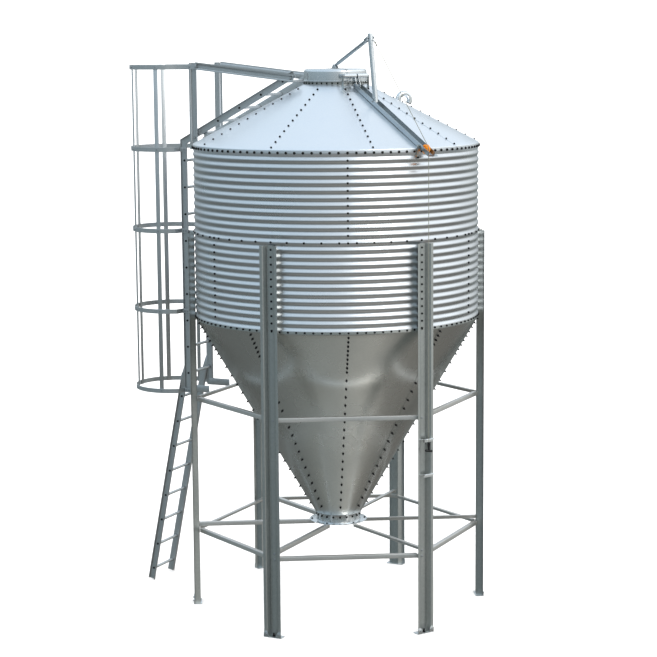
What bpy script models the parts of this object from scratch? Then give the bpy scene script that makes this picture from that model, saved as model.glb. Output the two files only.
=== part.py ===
"""Hopper-bottom feed silo on six legs, with a caged ladder and a rope-opened lid.

Metres, +Z up. Azimuths are in degrees from the front (-Y) towards the right (+X).
A place beside a radial plane is given as r (out from the silo's axis), t (along the
tangent) and z. The feet stand on z = 0.
"""
import math

import bmesh
import bpy
from mathutils import Matrix, Vector

# Shell
WALL_R = 1.375              # mid-line radius of the corrugated wall
CORRUGATION = 0.0127        # crest to valley
PITCH = 0.8128 / 12         # one corrugation; twelve make one ring of sheets
RING_H = 12 * PITCH
SHEET = 0.003
RING_JOINT_Z = 3.7076       # where the upper ring meets the lower one
WALL_FOOT_Z = RING_JOINT_Z - RING_H
WALL_TOP_Z = RING_JOINT_Z + RING_H
CREST_R = WALL_R + CORRUGATION / 2
STEP = 10                   # degrees a facet
GAP = 0.0003                # between pieces that touch

# Roof and filling neck
ROOF_SLOPE = 0.5184         # rise over run, 27.4 degrees
SKIRT_R = CREST_R + 0.0005
SKIRT_LOW, SKIRT_TOP = WALL_TOP_Z - 0.034, WALL_TOP_Z + 0.0245
NECK_R = 0.3015             # inner edge of the roof sheets
COLLAR_R = 0.3008
COLLAR_TOP = 5.1365

# Hopper and outlet
RIM_H = 0.027               # upright band under the wall
THROAT_R, THROAT_Z = 0.227, 0.905
FLANGE_R, BORE_R = 0.285, 0.2105
FLANGE_Z, FLANGE_T = 0.816, 0.005

# Legs, braces and struts
LEG_AZ = [30 + 60 * k for k in range(6)]
LEG_R = CREST_R + 0.0005    # inner face of the leg's web
LEG_TOP = RING_JOINT_Z - 0.028
LEG_T = 0.004
LEG_DEPTH = 0.062
WEB_HALF, ROOT_HALF, LIP_HALF = 0.040, 0.060, 0.087
BRACE_Z = (2.039, 0.722)    # lower edges of the two rings of braces
ANGLE = 0.040
ANGLE_T = 0.004

# Ladder, cage and handrails stand in the radial plane at LADDER_AZ
LADDER_AZ = -120
LADDER_R = 1.566
RAIL_OUT, RAIL_IN = 0.2375, 0.2125
RAIL_W, RAIL_T = 0.068, 0.003
LADDER_LOW = 2.035
RUNG_Z0, RUNG_STEP = 2.212, 0.268
RUNG_R = 0.014
CAGE_R, CAGE_OUT = 0.397, 1.85
HOOP_Z = [2.04 + 0.809 * k for k in range(5)]
HOOP_W, HOOP_T = 0.045, 0.005
STRIP_AT = (-100, -50, 0, 50, 100)
POST_R, POST_HALF, POST_TOP = 1.430, 0.044, 5.318
ROOF_LADDER = ((1.594, 4.529), (0.33, 5.205))
FOOT_LADDER = ((1.617, 2.20), (2.063, 0.008))

# Lid and its opening gear, in the radial plane at GEAR_AZ
GEAR_AZ = 30
LID_R, LID_LOW, LID_TOP = 0.303, 5.137, 5.258
HINGE = (0.338, 5.189)
CLEVIS = (0.0, 5.285)
MAST_FOOT = (0.667, 4.953)
APEX = (0.587, 5.545)
MAST_TIP = 5.585
MAST_RAD, ROD_RAD = 0.024, 0.0175
CHANNEL_IN, CHANNEL_T, CHANNEL_H = 0.032, 0.003, 0.045
CHANNEL_ENDS = (0.352, 1.524)
PULLEY = (1.451, 4.540)
PULLEY_R, GROOVE_R = 0.043, 0.0355
ROPE_RAD = 0.003
ROPE_EYE = (0.640, 5.520)
ROPE_R = PULLEY[0] + GROOVE_R + ROPE_RAD + GAP
HANDLE_TOP, HANDLE_BAR_Z = 1.841, 1.758
TONGUE_Z = (1.850, 1.517)


def place(az, r, z, t=0.0):
    """Point at azimuth az, r out from the axis, t along the tangent."""
    a = math.radians(az)
    return Vector((r * math.sin(a) + t * math.cos(a), -r * math.cos(a) + t * math.sin(a), z))


def loft(rings, closed=False):
    """Closed solid through rings of points that all have the same count."""
    bm = bmesh.new()
    rows = [[bm.verts.new(p) for p in ring] for ring in rings]
    pairs = list(zip(rows, rows[1:])) + ([(rows[-1], rows[0])] if closed else [])
    for a, b in pairs:
        for i in range(len(a)):
            j = (i + 1) % len(a)
            bm.faces.new((a[i], a[j], b[j], b[i]))
    if not closed:
        bm.faces.new(rows[0])
        bm.faces.new(list(reversed(rows[-1])))
    bmesh.ops.recalc_face_normals(bm, faces=bm.faces)
    return bm


def turned_sector(profile, az0, az1):
    """Turn an (r, z) outline about the silo's axis, from one seam to the next."""
    steps = round((az1 - az0) / STEP)
    slack = math.degrees(GAP / 2 / WALL_R)
    ends = [az0 + slack] + [az0 + STEP * k for k in range(1, steps)] + [az1 - slack]
    return loft([[place(a, r, z) for r, z in profile] for a in ends])


def turned_ring(profile, steps=36, az=0.0):
    return loft([[place(az + 360 * k / steps, r, z) for r, z in profile] for k in range(steps)], closed=True)


def turned_cup(profile, centre, axis, steps=36):
    """Turn (radius, height) points about an axis; both ends are closed with a disc."""
    axis = Vector(axis).normalized()
    side = axis.orthogonal().normalized()
    across = axis.cross(side)
    turns = [2 * math.pi * k / steps for k in range(steps)]
    rings = [[Vector(centre) + axis * h + (side * math.cos(a) + across * math.sin(a)) * r for a in turns]
             for r, h in profile]
    return loft(rings)


def bar(start, end, section, side):
    """Push a (u, v) outline from start to end; u runs along side."""
    start, end = Vector(start), Vector(end)
    way = (end - start).normalized()
    u = (side - way * side.dot(way)).normalized()
    v = way.cross(u)
    return loft([[p + u * a + v * b for a, b in section] for p in (start, end)])


def box(u0, u1, v0, v1):
    return [(u0, v0), (u1, v0), (u1, v1), (u0, v1)]


def circle(r, n=8):
    return [(r * math.cos(2 * math.pi * (k + 0.5) / n), r * math.sin(2 * math.pi * (k + 0.5) / n)) for k in range(n)]


def bent_bar(path, inner, outer, low, high):
    """Flat bar bent along a level path, from its inner to its outer face."""
    rings = []
    for k, p in enumerate(path):
        before, after = path[max(k - 1, 0)], path[min(k + 1, len(path) - 1)]
        way = [(b - a).normalized() for a, b in ((before, p), (p, after)) if (b - a).length > 1e-6]
        normals = [Vector((w.y, -w.x, 0)) for w in way]
        n = sum(normals, Vector()).normalized()
        n /= n.dot(normals[0])
        rings.append([Vector((*(p + n * d).xy, z)) for d, z in ((inner, low), (outer, low), (outer, high), (inner, high))])
    return loft(rings)


def upright_plate(az, outline, t0, t1):
    """Plate in a radial plane, from t0 to t1."""
    return loft([[place(az, r, z, t) for r, z in outline] for t in (t0, t1)])


def material(name, rgb, roughness, metallic):
    mat = bpy.data.materials.new(name)
    mat.use_nodes = True
    shader = mat.node_tree.nodes["Principled BSDF"]
    shader.inputs["Base Color"].default_value = (*rgb, 1)
    shader.inputs["Roughness"].default_value = roughness
    shader.inputs["Metallic"].default_value = metallic
    return mat


def make(name, bm, mat):
    mesh = bpy.data.meshes.new(name)
    bm.to_mesh(mesh)
    bm.free()
    mesh.materials.append(mat)
    ob = bpy.data.objects.new(name, mesh)
    bpy.context.scene.collection.objects.link(ob)
    ob.parent = axis_empty
    return ob


def combine(name, solids, mat, operation="UNION"):
    """One body from solids that overlap (or the first one less the others)."""
    ob = make(name, solids[0], mat)
    others = [make(name + "_piece", bm, mat) for bm in solids[1:]]
    for other in others:
        cut = ob.modifiers.new("join", "BOOLEAN")
        cut.operation = operation
        cut.solver = "EXACT"
        cut.object = other
    graph = bpy.context.evaluated_depsgraph_get()
    mesh = bpy.data.meshes.new_from_object(ob.evaluated_get(graph))
    ob.modifiers.clear()
    ob.data = mesh
    mesh.name = name
    for other in others:
        bpy.data.objects.remove(other)
    return ob


def copy_bm(ob):
    bm = bmesh.new()
    bm.from_mesh(ob.data)
    return bm


def hang_on(ob, point):
    """Move an object's origin to its joint, leaving its shape in place."""
    ob.data.transform(Matrix.Translation(-point))
    ob.location = point


for old in list(bpy.data.objects):
    bpy.data.objects.remove(old)

axis_empty = bpy.data.objects.new("silo_axis", None)
bpy.context.scene.collection.objects.link(axis_empty)

zinc = material("galvanised_steel", (0.50, 0.53, 0.56), 0.38, 0.9)
sheet = material("corrugated_sheet", (0.56, 0.60, 0.65), 0.30, 0.9)
roofing = material("roof_sheet", (0.68, 0.73, 0.78), 0.35, 0.8)
bright = material("bright_steel", (0.62, 0.64, 0.66), 0.22, 1.0)
orange = material("orange_plastic", (0.80, 0.33, 0.03), 0.40, 0.0)
black = material("black_plastic", (0.03, 0.03, 0.03), 0.50, 0.0)
rope = material("rope", (0.45, 0.44, 0.40), 0.80, 0.0)


# Wall: two rings of three corrugated sheets, their seams turned by half a sheet.
def corrugated(foot_z):
    zs = [foot_z + GAP / 2 + (RING_H - GAP) * k / 24 for k in range(25)]
    outer = [(CREST_R if k % 2 == 0 else CREST_R - CORRUGATION, z) for k, z in enumerate(zs)]
    return outer + [(r - SHEET, z) for r, z in reversed(outer)]


for ring_name, foot_z, first_seam in (("upper", RING_JOINT_Z, 0), ("lower", WALL_FOOT_Z, 60)):
    for k in range(3):
        seam = first_seam + 120 * k
        make(f"wall_sheet_{ring_name}_{k + 1}", turned_sector(corrugated(foot_z), seam, seam + 120), sheet)

# Roof: three groups of three sheets, each with its turned-down rim round the wall.
neck_z = SKIRT_TOP + (SKIRT_R - NECK_R) * ROOF_SLOPE
roof_outline = [
    (SKIRT_R, SKIRT_LOW),
    (SKIRT_R + SHEET, SKIRT_LOW),
    (SKIRT_R + SHEET, SKIRT_TOP + SHEET),
    (NECK_R, neck_z + SHEET + SHEET * ROOF_SLOPE),
    (NECK_R, neck_z),
    (SKIRT_R, SKIRT_TOP),
]
for k in range(3):
    seam = 10 + 120 * k
    make(f"roof_sheets_{k + 1}", turned_sector(roof_outline, seam, seam + 120), roofing)

# Filling neck: a collar inside the roof's edge, with the flange the lid sits on.
collar_low = neck_z - 0.02
make("roof_collar", turned_ring([
    (COLLAR_R - 0.004, collar_low),
    (COLLAR_R, collar_low),
    (COLLAR_R, COLLAR_TOP - 0.004),
    (COLLAR_R + 0.006, COLLAR_TOP - 0.004),
    (COLLAR_R + 0.006, COLLAR_TOP),
    (COLLAR_R - 0.004, COLLAR_TOP),
]), zinc)

# Hopper: three groups of three sheets under an upright rim, down to the throat.
rim_top = WALL_FOOT_Z - GAP
hopper_outline = [
    (CREST_R - SHEET, rim_top),
    (CREST_R, rim_top),
    (CREST_R, rim_top - RIM_H),
    (THROAT_R, THROAT_Z),
    (THROAT_R - SHEET * 1.17, THROAT_Z),
    (CREST_R - SHEET, rim_top - RIM_H + SHEET),
]
for k in range(3):
    make(f"hopper_sheets_{k + 1}", turned_sector(hopper_outline, 120 * k, 120 * k + 120), zinc)

# Outlet: a short tube with a lip that carries the hopper and a flange below.
tube_r = BORE_R + 0.004
lip = THROAT_Z - GAP
make("outlet_collar", turned_ring([
    (BORE_R, FLANGE_Z),
    (FLANGE_R, FLANGE_Z),
    (FLANGE_R, FLANGE_Z + FLANGE_T),
    (tube_r, FLANGE_Z + FLANGE_T),
    (tube_r, lip - 0.005),
    (THROAT_R + 0.005, lip - 0.005),
    (THROAT_R + 0.005, lip),
    (BORE_R, lip),
]), zinc)

# Legs: open hat sections, the web against the wall and the lips outside.
leg_section = [
    (-WEB_HALF, 0), (WEB_HALF, 0), (ROOT_HALF, LEG_DEPTH - LEG_T), (LIP_HALF, LEG_DEPTH - LEG_T),
    (LIP_HALF, LEG_DEPTH), (ROOT_HALF - LEG_T, LEG_DEPTH), (WEB_HALF - LEG_T, LEG_T),
    (-WEB_HALF + LEG_T, LEG_T), (-ROOT_HALF + LEG_T, LEG_DEPTH), (-LIP_HALF, LEG_DEPTH),
    (-LIP_HALF, LEG_DEPTH - LEG_T), (-ROOT_HALF, LEG_DEPTH - LEG_T),
]
for n, az in enumerate(LEG_AZ):
    solids = [loft([[place(az, LEG_R + d, z, t) for t, d in leg_section] for z in (0.004, LEG_TOP)])]
    base = box(-0.091, 0.091, -0.012, LEG_DEPTH + 0.006)
    solids.append(loft([[place(az, LEG_R + d, z, t) for t, d in base] for z in (0.0, 0.006)]))
    for side in (-1, 1):
        tab = [(side * 0.038, 0.003), (side * 0.0895, 0.003), (side * 0.0895, 0.044), (side * 0.080, 0.060),
               (side * 0.062, 0.060), (side * 0.046, 0.044)]
        solids.append(loft([[place(az, LEG_R + d, z, t) for t, z in tab]
                            for d in (LEG_DEPTH - 0.001, LEG_DEPTH + 0.005)]))
    if az == GEAR_AZ:
        for z in TONGUE_Z:
            tongue = [(LEG_R + LEG_DEPTH - 0.001, z - 0.018), (LEG_R + LEG_DEPTH + 0.004, z - 0.018),
                      (LEG_R + LEG_DEPTH + 0.004, z + 0.011), (LEG_R + LEG_DEPTH + 0.024, z + 0.011),
                      (LEG_R + LEG_DEPTH + 0.024, z + 0.015), (LEG_R + LEG_DEPTH - 0.001, z + 0.015)]
            solids.append(upright_plate(az, tongue, -0.078, 0.078))
    combine(f"leg_{n + 1}", solids, zinc)

# Braces: a ring of angle iron inside the legs, flattened where it is bolted to them.
FLAT = math.degrees(math.atan(0.04 / LEG_R))
brace_r = (LEG_R - GAP) / math.cos(math.radians(FLAT))
for name, low in zip(("upper", "lower"), BRACE_Z):
    high = low + ANGLE
    outline = [(0, low), (0, high), (-ANGLE, high), (-ANGLE, high - ANGLE_T), (-ANGLE_T, high - ANGLE_T),
               (-ANGLE_T, low)]
    corners = [az + s * FLAT for az in LEG_AZ for s in (-1, 1)]
    make(f"brace_ring_{name}", loft([[place(a, brace_r + d, z) for d, z in outline] for a in corners], closed=True),
         zinc)

# Struts: angle iron from each leg to the underside of the outlet flange.
strut = [(-ANGLE / 2, 0), (ANGLE / 2, 0), (ANGLE / 2, -ANGLE_T), (-ANGLE / 2 + ANGLE_T, -ANGLE_T),
         (-ANGLE / 2 + ANGLE_T, -ANGLE), (-ANGLE / 2, -ANGLE)]
for n, az in enumerate(LEG_AZ):
    top = FLANGE_Z - GAP
    make(f"outlet_strut_{n + 1}", loft([[place(az, r, top + z, t) for t, z in strut] for r in (0.238, LEG_R - GAP)]),
         zinc)


# Ladders: two channel rails, open away from each other, with round rungs between. The
# upright ladder and the roof ladder meet in a mitre at HEAD.
def unit(v):
    length = math.hypot(*v)
    return (v[0] / length, v[1] / length)


roof_way = unit((ROOF_LADDER[1][0] - ROOF_LADDER[0][0], ROOF_LADDER[1][1] - ROOF_LADDER[0][1]))
HEAD = (LADDER_R, ROOF_LADDER[0][1] + (LADDER_R - ROOF_LADDER[0][0]) * roof_way[1] / roof_way[0])
mitre = unit((roof_way[0], roof_way[1] + 1))


def rail_pair(low, high, out, cut_low=None, cut_high=None):
    """Rails along a line in the ladder's plane; a cut end stops short of the mitre."""
    a, b = (place(LADDER_AZ, *p) for p in (low, high))
    way = (b - a).normalized()
    tangent = place(LADDER_AZ, 0, 0, 1)
    face = way.cross(tangent)
    normal = place(LADDER_AZ, *mitre)
    half, t = RAIL_W / 2, RAIL_T
    inward = out - (RAIL_OUT - RAIL_IN)
    pair = []
    for s in (-1, 1):
        outline = [(-half, s * inward), (half, s * inward), (half, s * out), (half - t, s * out),
                   (half - t, s * (inward + t)), (-half + t, s * (inward + t)), (-half + t, s * out), (-half, s * out)]
        rings = []
        for end, cut in ((a, cut_low), (b, cut_high)):
            ring = [end + face * u + tangent * v for u, v in outline]
            if cut is not None:
                ring = [p + way * ((cut - (p - place(LADDER_AZ, *HEAD)).dot(normal)) / way.dot(normal)) for p in ring]
            rings.append(ring)
        pair.append(loft(rings))
    return pair


def rungs(points, out, rad=RUNG_R):
    reach = out - (RAIL_OUT - RAIL_IN) + RAIL_T / 2
    radial = place(LADDER_AZ, 1, 0)
    return [bar(place(LADDER_AZ, *p, -reach), place(LADDER_AZ, *p, reach), circle(rad), radial) for p in points]


def along(line, first, step, count):
    (r0, z0), (r1, z1) = line
    length = math.dist(*line)
    return [(r0 + (r1 - r0) * (first + step * k) / length, z0 + (z1 - z0) * (first + step * k) / length)
            for k in range(count)]


upright = rail_pair((LADDER_R, LADDER_LOW), HEAD, RAIL_OUT, cut_high=-GAP / 2)
upright += rungs([(LADDER_R, RUNG_Z0 + RUNG_STEP * k) for k in range(9)], RAIL_OUT)
ARM_T = RAIL_IN - 0.004      # the arms lie on the inner faces of the webs
wall_at_rail = CREST_R - (CREST_R - CREST_R * math.cos(math.radians(10))) * ARM_T / (CREST_R * math.sin(math.radians(10)))
arms = [(wall_at_rail + 0.0006, LADDER_R, z, 0.022)
        for z in (RING_JOINT_Z - PITCH, WALL_FOOT_Z + PITCH)]
for r_in, r_out, z, half in arms + [(1.330, 1.570, LADDER_LOW + 0.025, 0.035)]:
    for s in (-1, 1):
        arm = [(r_in, z - half), (r_out, z - half), (r_out, z + half), (r_in, z + half)]
        upright.append(upright_plate(LADDER_AZ, arm, s * ARM_T, s * (RAIL_IN + 0.001)))
combine("ladder_upright", upright, zinc)

# The lower ladder leans out to the ground from two plates bolted to the upright one.
FOOT_OUT = RAIL_IN - GAP - 0.003
foot_ladder = rail_pair(FOOT_LADDER[1], FOOT_LADDER[0], FOOT_OUT)
foot_ladder += rungs(along(FOOT_LADDER, 0.244, RUNG_STEP, 8), FOOT_OUT)
for s in (-1, 1):
    fish = [(LADDER_R + 0.017, 2.075), (1.668, 2.075), (1.660, 2.16), (1.600, 2.33), (LADDER_R + 0.017, 2.33)]
    foot_ladder.append(upright_plate(LADDER_AZ, fish, s * (FOOT_OUT - 0.001), s * (RAIL_IN - GAP)))
combine("ladder_foot", foot_ladder, zinc)

# The roof ladder runs over the roof to the neck; two brackets stand it off near the eave.
roof_ladder = rail_pair(HEAD, ROOF_LADDER[1], RAIL_OUT, cut_low=GAP / 2)
roof_ladder += rungs(along(ROOF_LADDER, 0.20, 0.272, 5), RAIL_OUT)


def roof_top(r, t):
    """Height of the roof's outside beside the ladder's plane."""
    return SKIRT_TOP + SHEET + (SKIRT_R + SHEET - math.hypot(r, t)) * ROOF_SLOPE


bracket = [(r, roof_top(r, ARM_T) + 0.0006) for r in (1.30, 1.34)]
bracket += [(r, HEAD[1] + (r - HEAD[0]) * roof_way[1] / roof_way[0]) for r in (1.34, 1.30)]
for s in (-1, 1):
    roof_ladder.append(upright_plate(LADDER_AZ, bracket, s * ARM_T, s * (RAIL_IN + 0.001)))
combine("ladder_roof", roof_ladder, zinc)

# Handrails: a post bolted to each side of the roof ladder, and a rail to the neck.
POST_IN = RAIL_OUT + GAP
for name, s in (("near", 1), ("far", -1)):
    t0, t1 = s * POST_IN, s * (POST_IN + 0.022)
    post = box(POST_R - POST_HALF, POST_R + POST_HALF, 4.47, POST_TOP)
    rail = [(1.40, 5.251), (1.40, 5.325), (0.33, 5.204), (0.33, 5.130)]
    combine(f"handrail_{name}", [upright_plate(LADDER_AZ, post, t0, t1),
                                 upright_plate(LADDER_AZ, rail, s * (POST_IN + 0.001), s * (POST_IN + 0.021))], zinc)

# Cage: five hoops bolted to the ladder (the top one to the posts), five strips inside.
HOOP_START, HOOP_FACETS = 125, 15
facet = 2 * HOOP_START / HOOP_FACETS
for n, z in enumerate(HOOP_Z):
    top = n == len(HOOP_Z) - 1
    beside = (POST_IN + 0.022 if top else RAIL_OUT) + GAP + HOOP_T / 2
    back = POST_R - POST_HALF + 0.005 if top else LADDER_R - RAIL_W / 2 - 0.002
    front = POST_R + 0.06 if top else LADDER_R + 0.038
    angles = [math.radians(HOOP_START - facet * k) for k in range(HOOP_FACETS + 1)]
    arc = [(CAGE_OUT + CAGE_R * math.cos(a), CAGE_R * math.sin(a)) for a in angles]
    route = [(back, beside), (front, beside)] + arc + [(front, -beside), (back, -beside)]
    path = [place(LADDER_AZ, r, 0, t) for r, t in route]
    make(f"cage_hoop_{n + 1}", bent_bar(path, -HOOP_T / 2, HOOP_T / 2, z - HOOP_W / 2, z + HOOP_W / 2), zinc)

strip_face = CAGE_R * math.cos(math.radians(facet / 2)) - HOOP_T / 2 - GAP
for n, turn in enumerate(STRIP_AT):
    c, s = math.cos(math.radians(turn)), math.sin(math.radians(turn))
    outline = [place(LADDER_AZ, CAGE_OUT + v * c - u * s, 0, v * s + u * c)
               for u, v in box(-0.022, 0.022, strip_face - 0.004, strip_face)]
    make(f"cage_strip_{n + 1}", loft([[Vector((*p.xy, z)) for p in outline]
                                      for z in (HOOP_Z[0] - HOOP_W / 2, HOOP_Z[-1] + HOOP_W / 2)]), zinc)


# Lid gear: the channel on the roof carries the mast and the pulley, and two straps at
# its head hold the hinge tube.
def gear(point, t=0.0):
    return place(GEAR_AZ, point[0], point[1], t)


tangent = place(GEAR_AZ, 0, 0, 1)
floor_z = [SKIRT_TOP + SHEET + (SKIRT_R + SHEET - r) * ROOF_SLOPE + 0.0006 for r in CHANNEL_ENDS]
wide = CHANNEL_IN + CHANNEL_T
u_section = [(-wide, 0), (wide, 0), (wide, CHANNEL_H), (CHANNEL_IN, CHANNEL_H), (CHANNEL_IN, CHANNEL_T),
             (-CHANNEL_IN, CHANNEL_T), (-CHANNEL_IN, CHANNEL_H), (-wide, CHANNEL_H)]
slope_up = (gear((CHANNEL_ENDS[0], floor_z[0])) - gear((CHANNEL_ENDS[1], floor_z[1]))).normalized()
lift = slope_up.cross(tangent)
lift = lift if lift.z > 0 else -lift
channel = [loft([[gear((r, z)) + tangent * u + lift * v for u, v in u_section]
                 for r, z in zip(CHANNEL_ENDS, floor_z)])]
for s in (-1, 1):
    strap = [(0.356, floor_z[0] + 0.005), (0.400, floor_z[0] - 0.015), (0.400, floor_z[0] + 0.010),
             (0.350, HINGE[1] + 0.012), (0.326, HINGE[1] + 0.012), (0.326, HINGE[1] - 0.02)]
    channel.append(upright_plate(GEAR_AZ, strap, s * CHANNEL_IN, s * wide))
channel.append(bar(gear(HINGE, -0.135), gear(HINGE, 0.135), circle(0.018, 12), Vector((0, 0, 1))))
channel_ob = combine("lid_channel", channel, bright)
slot = upright_plate(GEAR_AZ, [(1.388, 4.40), (1.500, 4.40), (1.500, 4.56), (1.388, 4.60)], -0.020, 0.020)
slotted = combine("lid_channel_slotted", [copy_bm(channel_ob), slot], bright, "DIFFERENCE")
bpy.data.objects.remove(channel_ob)
slotted.name = slotted.data.name = "lid_channel"

# Lid: a shallow cap with a rolled edge, two hinge lugs and a clevis.
shell = 0.0035
lid_outline = [(0.10, LID_TOP), (0.270, LID_TOP - 0.004), (0.293, LID_TOP - 0.012), (LID_R, LID_TOP - 0.032),
               (LID_R, LID_LOW + 0.008), (LID_R + 0.005, LID_LOW + 0.006), (LID_R + 0.005, LID_LOW),
               (LID_R - shell, LID_LOW), (LID_R - shell, LID_TOP - 0.033), (0.291, LID_TOP - 0.0155),
               (0.269, LID_TOP - 0.0075), (0.10, LID_TOP - 0.0035)]
lid = [turned_cup(lid_outline, (0, 0, 0), (0, 0, 1))]
for s in (-1, 1):
    lug = [(0.262, 5.172), (0.338, 5.172), (0.355, 5.189), (0.338, 5.206), (0.262, 5.206)]
    lid.append(upright_plate(GEAR_AZ, lug, s * (0.135 + GAP), s * (0.141 + GAP)))
    ear = [(-0.022, LID_TOP - 0.002), (0.022, LID_TOP - 0.002), (0.013, CLEVIS[1] + 0.012), (-0.013, CLEVIS[1] + 0.012)]
    lid.append(upright_plate(GEAR_AZ, ear, s * 0.012, s * 0.017))
hang_on(combine("lid", lid, bright), gear(HINGE))

# Pull rod: a tongue and pin in the clevis, a tube, and a fork round the mast.
rod_way = (gear(APEX) - gear(CLEVIS)).normalized()
rod_up = rod_way.cross(tangent)
foot_point, apex_point = gear(CLEVIS), gear(APEX)
rod = [bar(foot_point - rod_way * 0.012, foot_point + rod_way * 0.060, box(-0.006, 0.006, -0.012, 0.012), tangent)]
rod.append(bar(foot_point + rod_way * 0.050, apex_point - rod_way * 0.085, circle(ROD_RAD, 12), tangent))
rod.append(bar(foot_point - tangent * 0.0117, foot_point + tangent * 0.0117, circle(0.006), rod_way))
rod.append(bar(apex_point - rod_way * 0.092, apex_point - rod_way * 0.085, box(-0.035, 0.035, -0.016, 0.016), tangent))
for s in (-1, 1):
    rod.append(bar(apex_point - rod_way * 0.088, apex_point + rod_way * 0.018,
                   box(s * 0.030, s * 0.035, -0.016, 0.016), tangent))
hang_on(combine("pull_rod", rod, bright), foot_point)

# Mast: a tube on a cross pin in the channel, with the rope's eye at its head.
mast_way = (gear(APEX) - gear(MAST_FOOT)).normalized()
mast_top = gear(MAST_FOOT) + mast_way * ((MAST_TIP - MAST_FOOT[1]) / mast_way.z)
mast = [bar(gear(MAST_FOOT) - mast_way * 0.010, mast_top, circle(MAST_RAD, 12), tangent)]
pin = CHANNEL_IN - GAP
mast.append(bar(gear(MAST_FOOT, -pin), gear(MAST_FOOT, pin), circle(0.007), Vector((0, 0, 1))))
mast.append(upright_plate(GEAR_AZ, [(0.600, 5.530), (0.600, 5.500), (ROPE_EYE[0] + 0.006, 5.508),
                                    (ROPE_EYE[0] + 0.006, 5.530)], -0.005, 0.005))
hang_on(combine("mast", mast, bright), gear(MAST_FOOT))

# Pulley wheel on its pin between the channel's sides.
wheel = [turned_cup([(GROOVE_R - 0.0, -0.004), (PULLEY_R, -0.012), (PULLEY_R, -0.015), (0.012, -0.015),
                     (0.012, -pin), (0.004, -pin)][::-1]
                    + [(GROOVE_R, 0.004), (PULLEY_R, 0.012), (PULLEY_R, 0.015), (0.012, 0.015), (0.012, pin),
                       (0.004, pin)], gear(PULLEY), tangent, 24)]
hang_on(combine("pulley_wheel", wheel, orange), gear(PULLEY))

# Rope: from the mast's eye to the pulley and round it, then down to the handle.
eye = (ROPE_EYE[0] + 0.0105, ROPE_EYE[1] - 0.004)
run = (PULLEY[0] - eye[0], PULLEY[1] - eye[1])
reach_r = ROPE_R - PULLEY[0]
bearing = math.atan2(run[1], run[0])
touch = bearing + math.pi - math.acos(reach_r / math.hypot(*run))
arc = [touch + (0 - touch) * k / 6 for k in range(7)]
rope_line = [eye] + [(PULLEY[0] + reach_r * math.cos(a), PULLEY[1] + reach_r * math.sin(a)) for a in arc]


def rope_solid(line):
    rings = []
    for k, p in enumerate(line):
        a, b = line[max(k - 1, 0)], line[min(k + 1, len(line) - 1)]
        way = (gear(b) - gear(a)).normalized()
        side = way.cross(tangent)
        rings.append([gear(p) + tangent * u + side * v for u, v in circle(ROPE_RAD)])
    return loft(rings)


make("rope_over_roof", rope_solid(rope_line), rope)
make("rope_down", rope_solid([(ROPE_R, PULLEY[1] - GAP), (ROPE_R, HANDLE_TOP + GAP)]), rope)

# Handle: a T that hangs on the rope in front of one leg.
handle = [bar(gear((ROPE_R, HANDLE_TOP)), gear((ROPE_R, HANDLE_BAR_Z)), circle(0.008), tangent),
          bar(gear((ROPE_R, HANDLE_BAR_Z), -0.037), gear((ROPE_R, HANDLE_BAR_Z), 0.037), circle(0.011),
              Vector((0, 0, 1)))]
hang_on(combine("pull_handle", handle, black), gear((ROPE_R, HANDLE_TOP)))

# Vent: a pipe that comes out of the roof and bends back down.
VENT_AZ, VENT_R, VENT_BEND, VENT_RAD = 110, 0.675, 0.0615, 0.0275
spring = roof_top(VENT_R - VENT_RAD, 0) + 0.014
turns = [math.pi - math.pi * k / 8 for k in range(9)]
vent_path = [(VENT_R, spring - 0.030)] + [(VENT_R + VENT_BEND + VENT_BEND * math.cos(a), spring + VENT_BEND * math.sin(a))
                                     for a in turns] + [(VENT_R + 2 * VENT_BEND, spring - 0.045)]
rings = []
for k, p in enumerate(vent_path):
    a, b = vent_path[max(k - 1, 0)], vent_path[min(k + 1, len(vent_path) - 1)]
    way = (place(VENT_AZ, *b) - place(VENT_AZ, *a)).normalized()
    across = place(VENT_AZ, 0, 0, 1)
    side = way.cross(across)
    rings.append([place(VENT_AZ, *p) + across * u + side * v for u, v in circle(VENT_RAD, 12)])
for p in rings[0]:
    p.z = roof_top(math.hypot(p.x, p.y), 0) + 0.0005
make("roof_vent", loft(rings), bright)

# Stand the whole silo so that the middle of its footprint is the origin.
bpy.context.view_layer.update()
corners = [ob.matrix_world @ Vector(c) for ob in bpy.data.objects if ob.type == "MESH" for c in ob.bound_box]
for k in range(2):
    axis_empty.location[k] = -(min(c[k] for c in corners) + max(c[k] for c in corners)) / 2
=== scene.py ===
import math

import bmesh
import bpy
from mathutils import Matrix, Vector


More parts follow.
